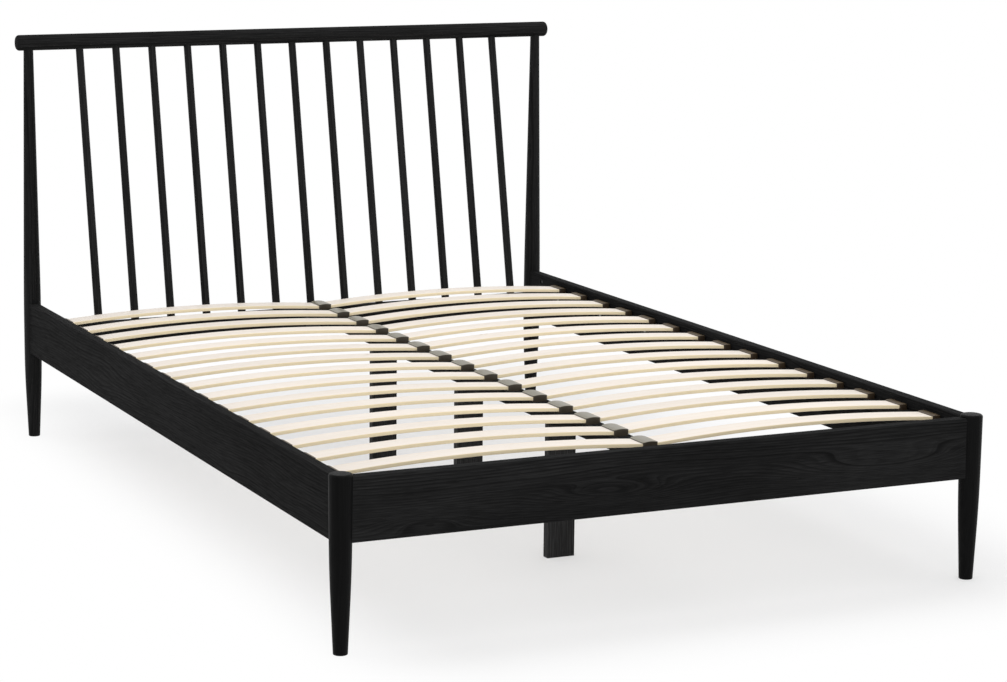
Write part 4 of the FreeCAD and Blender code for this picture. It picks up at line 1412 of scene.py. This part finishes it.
@dataclass
class Hardware(Assembly):
    """Steel plates with their screws, bolts and barrel nuts. Sizes in millimetres."""

    head_diameter: float = 9.6
    head_height: float = 2.6
    head_rim: float = 0.9
    head_segments: int = 24
    crown_height: float = 0.82
    crown_widths: Span = (0.8, 0.45)
    recess_width: float = 1.5
    recess_length: float = 5.2
    recess_depth: float = 1.6
    plate_thickness: float = 3.0
    corner_reach: float = 40.0
    rail_plate_reach: float = 18.0
    beam_plate_drop: float = 19.0
    beam_plate_reach: float = 24.0
    bearer_screws: int = 8
    bearer_inset: float = 80.0

    def head_mould(self) -> bpy.types.Object:
        """Makes a pan head with a cross recess, its seat on the origin and its top up.

        Returns:
            The mould, as an object.
        """
        radius, height = self.head_diameter * MM / 2, self.head_height * MM
        outer, inner = (radius * share for share in self.crown_widths)
        outline = [(0.0, 0.0), (0.0, radius), (self.head_rim * MM, radius),
                   (height * self.crown_height, outer), (height, inner), (height, 0.0)]
        mesh = turned("screw_head", outline, Vector(), "Z", self.head_segments)
        low, high = height - self.recess_depth * MM, 2 * height
        wide, long = self.recess_width * MM / 2, self.recess_length * MM / 2
        arms = [block((-x, -y, low), (x, y, high)) for x, y in ((long, wide), (wide, long))]
        return scratch("screw_mould", cut(mesh, arms))

    def angle_places(self, box: Place, inward: Vector, reach: float) -> list[Place]:
        """Gives the two screws of a steel angle in an inner corner.

        Args:
            box: The angle's lowest and highest corner.
            inward: The way from the side rail into the bed.
            reach: How far the screws lie from the corner, in millimetres.

        Returns:
            Their places and the ways that they face.
        """
        low, high = box
        edge, level = (low.x if inward.x > 0 else high.x), (low.z + high.z) / 2
        wall, away = self.plate_thickness * MM, reach * MM
        return [(Vector((edge + inward.x * wall, low.y + away, level)), inward),
                (Vector((edge + inward.x * away, low.y + wall, level)), AHEAD)]

    def bearer_places(self, box: Place, inward: Vector) -> list[Place]:
        """Gives the row of screws in a slat bearer.

        Args:
            box: The bearer's lowest and highest corner.
            inward: The way from the side rail into the bed.

        Returns:
            Their places and the ways that they face.
        """
        low, high = box
        edge, level = (high.x if inward.x > 0 else low.x), (low.z + high.z) / 2
        start, end = low.y + self.bearer_inset * MM, high.y - self.bearer_inset * MM
        step = (end - start) / (self.bearer_screws - 1)
        return [(Vector((edge, start + step * number, level)), inward)
                for number in range(self.bearer_screws)]

    def beam_places(self, start: float, top: float, way: Vector) -> list[Place]:
        """Gives the two screws of a plate that holds the centre beam.

        Args:
            start: Where the plate meets its rail.
            top: The plate's upper face.
            way: The way from the rail along the beam.

        Returns:
            Their places and the ways that they face.
        """
        wall, drop = self.plate_thickness * MM, self.beam_plate_drop * MM
        along = start + way.y * self.beam_plate_reach * MM
        return [(Vector((0.0, start + way.y * wall, top - drop)), way),
                (Vector((0.0, along, top - wall)), DOWN)]

    def places(self) -> list[Place]:
        """Gives where each screw sits and the way that its head faces.

        Returns:
            The places and their directions.
        """
        found: list[Place] = []
        for side, inward in (("left", Vector((1, 0, 0))), ("right", Vector((-1, 0, 0)))):
            low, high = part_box("corner_plate_" + side)
            found += self.angle_places((low, high), inward, self.corner_reach)
            low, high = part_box("rail_plate_" + side)
            found += self.angle_places((low, high), inward, self.rail_plate_reach)
            low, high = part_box("slat_bearer_" + side)
            found += self.bearer_places((low, high), inward)
        low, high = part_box("beam_plate_foot")
        found += self.beam_places(low.y, high.z, AHEAD)
        low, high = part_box("beam_plate_head")
        return found + self.beam_places(high.y, high.z, BACK)

    def build(self) -> None:
        """Dresses the hardware and adds its screws."""
        dress([*both("corner_plate"), "beam_plate_foot", "beam_plate_head", *both("rail_plate")],
              self.finishes.plates)
        dress([*both("leg_bolt"), "post_bolts", "barrel_nuts"], self.finishes.bolts)
        places = self.places()
        points = bpy.data.meshes.new("screw_points")
        points.from_pydata([tuple(place) for place, _ in places], [], [])
        facing = points.attributes.new("facing", "FLOAT_VECTOR", "POINT")
        facing.data.foreach_set("vector", [part for _, way in places for part in way])
        mould = self.head_mould()
        mesh = screw_tree(mould, self.finishes.bolts).run("screw_heads", points)
        bpy.data.objects.remove(mould)
        finished("screw_heads", mesh, self.finishes.bolts, [])


# Studio ---------------------------------------------------------------------


@dataclass(frozen=True)
class Lamp:
    """A softbox: its place, what it faces, its size and its power."""

    name: str
    place: Axes
    target: Axes
    size: Span
    power: float

    def build(self) -> None:
        """Sets the lamp up."""
        data = bpy.data.lights.new(self.name, "AREA")
        data.shape, data.size, data.size_y, data.energy = "RECTANGLE", *self.size, self.power
        lamp = bpy.data.objects.new(self.name, data)
        lamp.location = self.place
        way = Vector(self.target) - Vector(self.place)
        lamp.rotation_euler = way.to_track_quat("-Z", "Y").to_euler()
        bpy.context.scene.collection.objects.link(lamp)


@dataclass
class Studio:
    """Pale floor, white surroundings, soft lamps and the camera. Places in metres."""

    camera_place: Axes = (-2.62265, -5.73509, 1.54163)
    camera_turn: float = 0.413721
    camera_dip: float = 0.156578
    camera_roll: float = 0.005490
    focal_pixels: float = 2804.47
    axis_pixel: Span = (412.87, 265.48)
    sensor_width: float = 36.0
    floor_half: float = 30.0
    floor_colour: Colour = (0.90, 0.90, 0.905)
    surround: float = 0.66
    shade_middle: Axes = (0.18, 0.12, 0.0)
    shade_half: Axes = (0.62, 1.17, 0.0)
    shade_fade: Span = (0.0, 0.36)
    shade_lift: float = 0.46
    lamps: tuple[Lamp, ...] = (
        Lamp("overhead_softbox", (0.3, 0.2, 3.6), (0.0, 0.0, 0.0), (3.6, 4.6), 60.0),
        Lamp("front_softbox", (-1.6, -6.2, 2.4), (0.0, 0.0, 0.3), (3.2, 2.6), 70.0),
        Lamp("right_softbox", (4.0, -1.5, 2.2), (0.0, 0.0, 0.3), (2.4, 2.4), 8.0),
    )

    def build_camera(self) -> None:
        """Sets the camera where the photograph was taken from."""
        width, height = PHOTO_SIZE
        data = bpy.data.cameras.new("photo_camera")
        data.sensor_width = self.sensor_width
        data.lens = self.focal_pixels * data.sensor_width / width
        data.shift_x = (width / 2 - self.axis_pixel[0]) / width
        data.shift_y = (self.axis_pixel[1] - height / 2) / width
        turn, dip, roll = self.camera_turn, self.camera_dip, self.camera_roll
        level = Vector((math.sin(turn), math.cos(turn), 0.0))
        ahead = level * math.cos(dip) - Vector((0.0, 0.0, math.sin(dip)))
        right = Vector((math.cos(turn), -math.sin(turn), 0.0))
        up = right.cross(ahead)
        rolled_right = right * math.cos(roll) + up * math.sin(roll)
        rolled_up = up * math.cos(roll) - right * math.sin(roll)
        camera = bpy.data.objects.new("photo_camera", data)
        camera.location = self.camera_place
        camera.rotation_euler = Matrix((rolled_right, rolled_up, -ahead)).transposed().to_euler()
        bpy.context.scene.collection.objects.link(camera)
        bpy.context.scene.camera = camera

    def build_floor(self) -> None:
        """Lays the floor, which takes the bed's shadow and fades to white away from it."""
        shape = bmesh.new()
        bmesh.ops.create_grid(shape, x_segments=1, y_segments=1, size=self.floor_half)
        floor = scratch("studio_floor", closed_mesh("studio_floor", shape))
        made, graph, shader = open_material("studio_floor_paper")
        graph.feed(shader.inputs["Base Color"], self.floor_colour)
        shader.inputs["Roughness"].default_value = 1.0
        shader.inputs["Specular IOR Level"].default_value = 0.0
        place = graph.add("ShaderNodeTexCoord").outputs["Object"]
        place = graph.vector("ABSOLUTE", graph.vector("SUBTRACT", place, self.shade_middle))
        beyond = graph.vector("SUBTRACT", place, self.shade_half)
        away = graph.vector("LENGTH", graph.vector("MAXIMUM", beyond, (0.0, 0.0, 0.0)))
        fade = graph.span(away, self.shade_fade, (self.shade_lift, 1.0))
        light = graph.one("ShaderNodeEmission")
        share = graph.times(fade, self.seen(graph))
        mix = graph.one("ShaderNodeMixShader", {0: share, 1: shader.outputs[0], 2: light})
        graph.feed(graph.tree.nodes["Material Output"].inputs["Surface"], mix)
        floor.data.materials.append(made)

    @staticmethod
    def seen(graph: Graph) -> Socket:
        """Gives 1 for rays that show a surface, straight or in gloss or glass, and 0 for light.

        Args:
            graph: The graph that asks.

        Returns:
            The factor.
        """
        rays = graph.add("ShaderNodeLightPath").outputs
        mirrored = graph.math("MAXIMUM", rays["Is Glossy Ray"], rays["Is Transmission Ray"])
        return graph.math("MAXIMUM", rays["Is Camera Ray"], mirrored)

    def build_surround(self) -> None:
        """Makes the surroundings: white where seen, soft where they light the bed."""
        world = bpy.data.worlds.new("white_studio")
        world.use_nodes = True
        graph = Graph(world.node_tree)
        back = world.node_tree.nodes["Background"]
        graph.feed(back.inputs["Color"], (1.0, 1.0, 1.0))
        strength = graph.span(self.seen(graph), (0.0, 1.0), (self.surround, 1.0))
        graph.feed(back.inputs["Strength"], strength)
        bpy.context.scene.world = world

    def build(self) -> None:
        """Sets the whole studio up."""
        bpy.context.scene.view_settings.view_transform = "Standard"
        self.build_camera()
        self.build_floor()
        self.build_surround()
        for lamp in self.lamps:
            lamp.build()
        LOG.info("studio: floor, surroundings, %d softboxes and the camera", len(self.lamps))


def main() -> None:
    """Builds the bed's looks, piece by piece, and its studio."""
    logging.basicConfig(level=logging.INFO, format="%(name)s %(message)s")
    finishes = Finishes(Effects())
    for kind in (Legs, Headboard, Rails, SlatBase, Hardware):
        LOG.info("building %s", kind.__name__)
        kind(finishes).build()
    Studio().build()


if __name__ == "__main__":
    main()
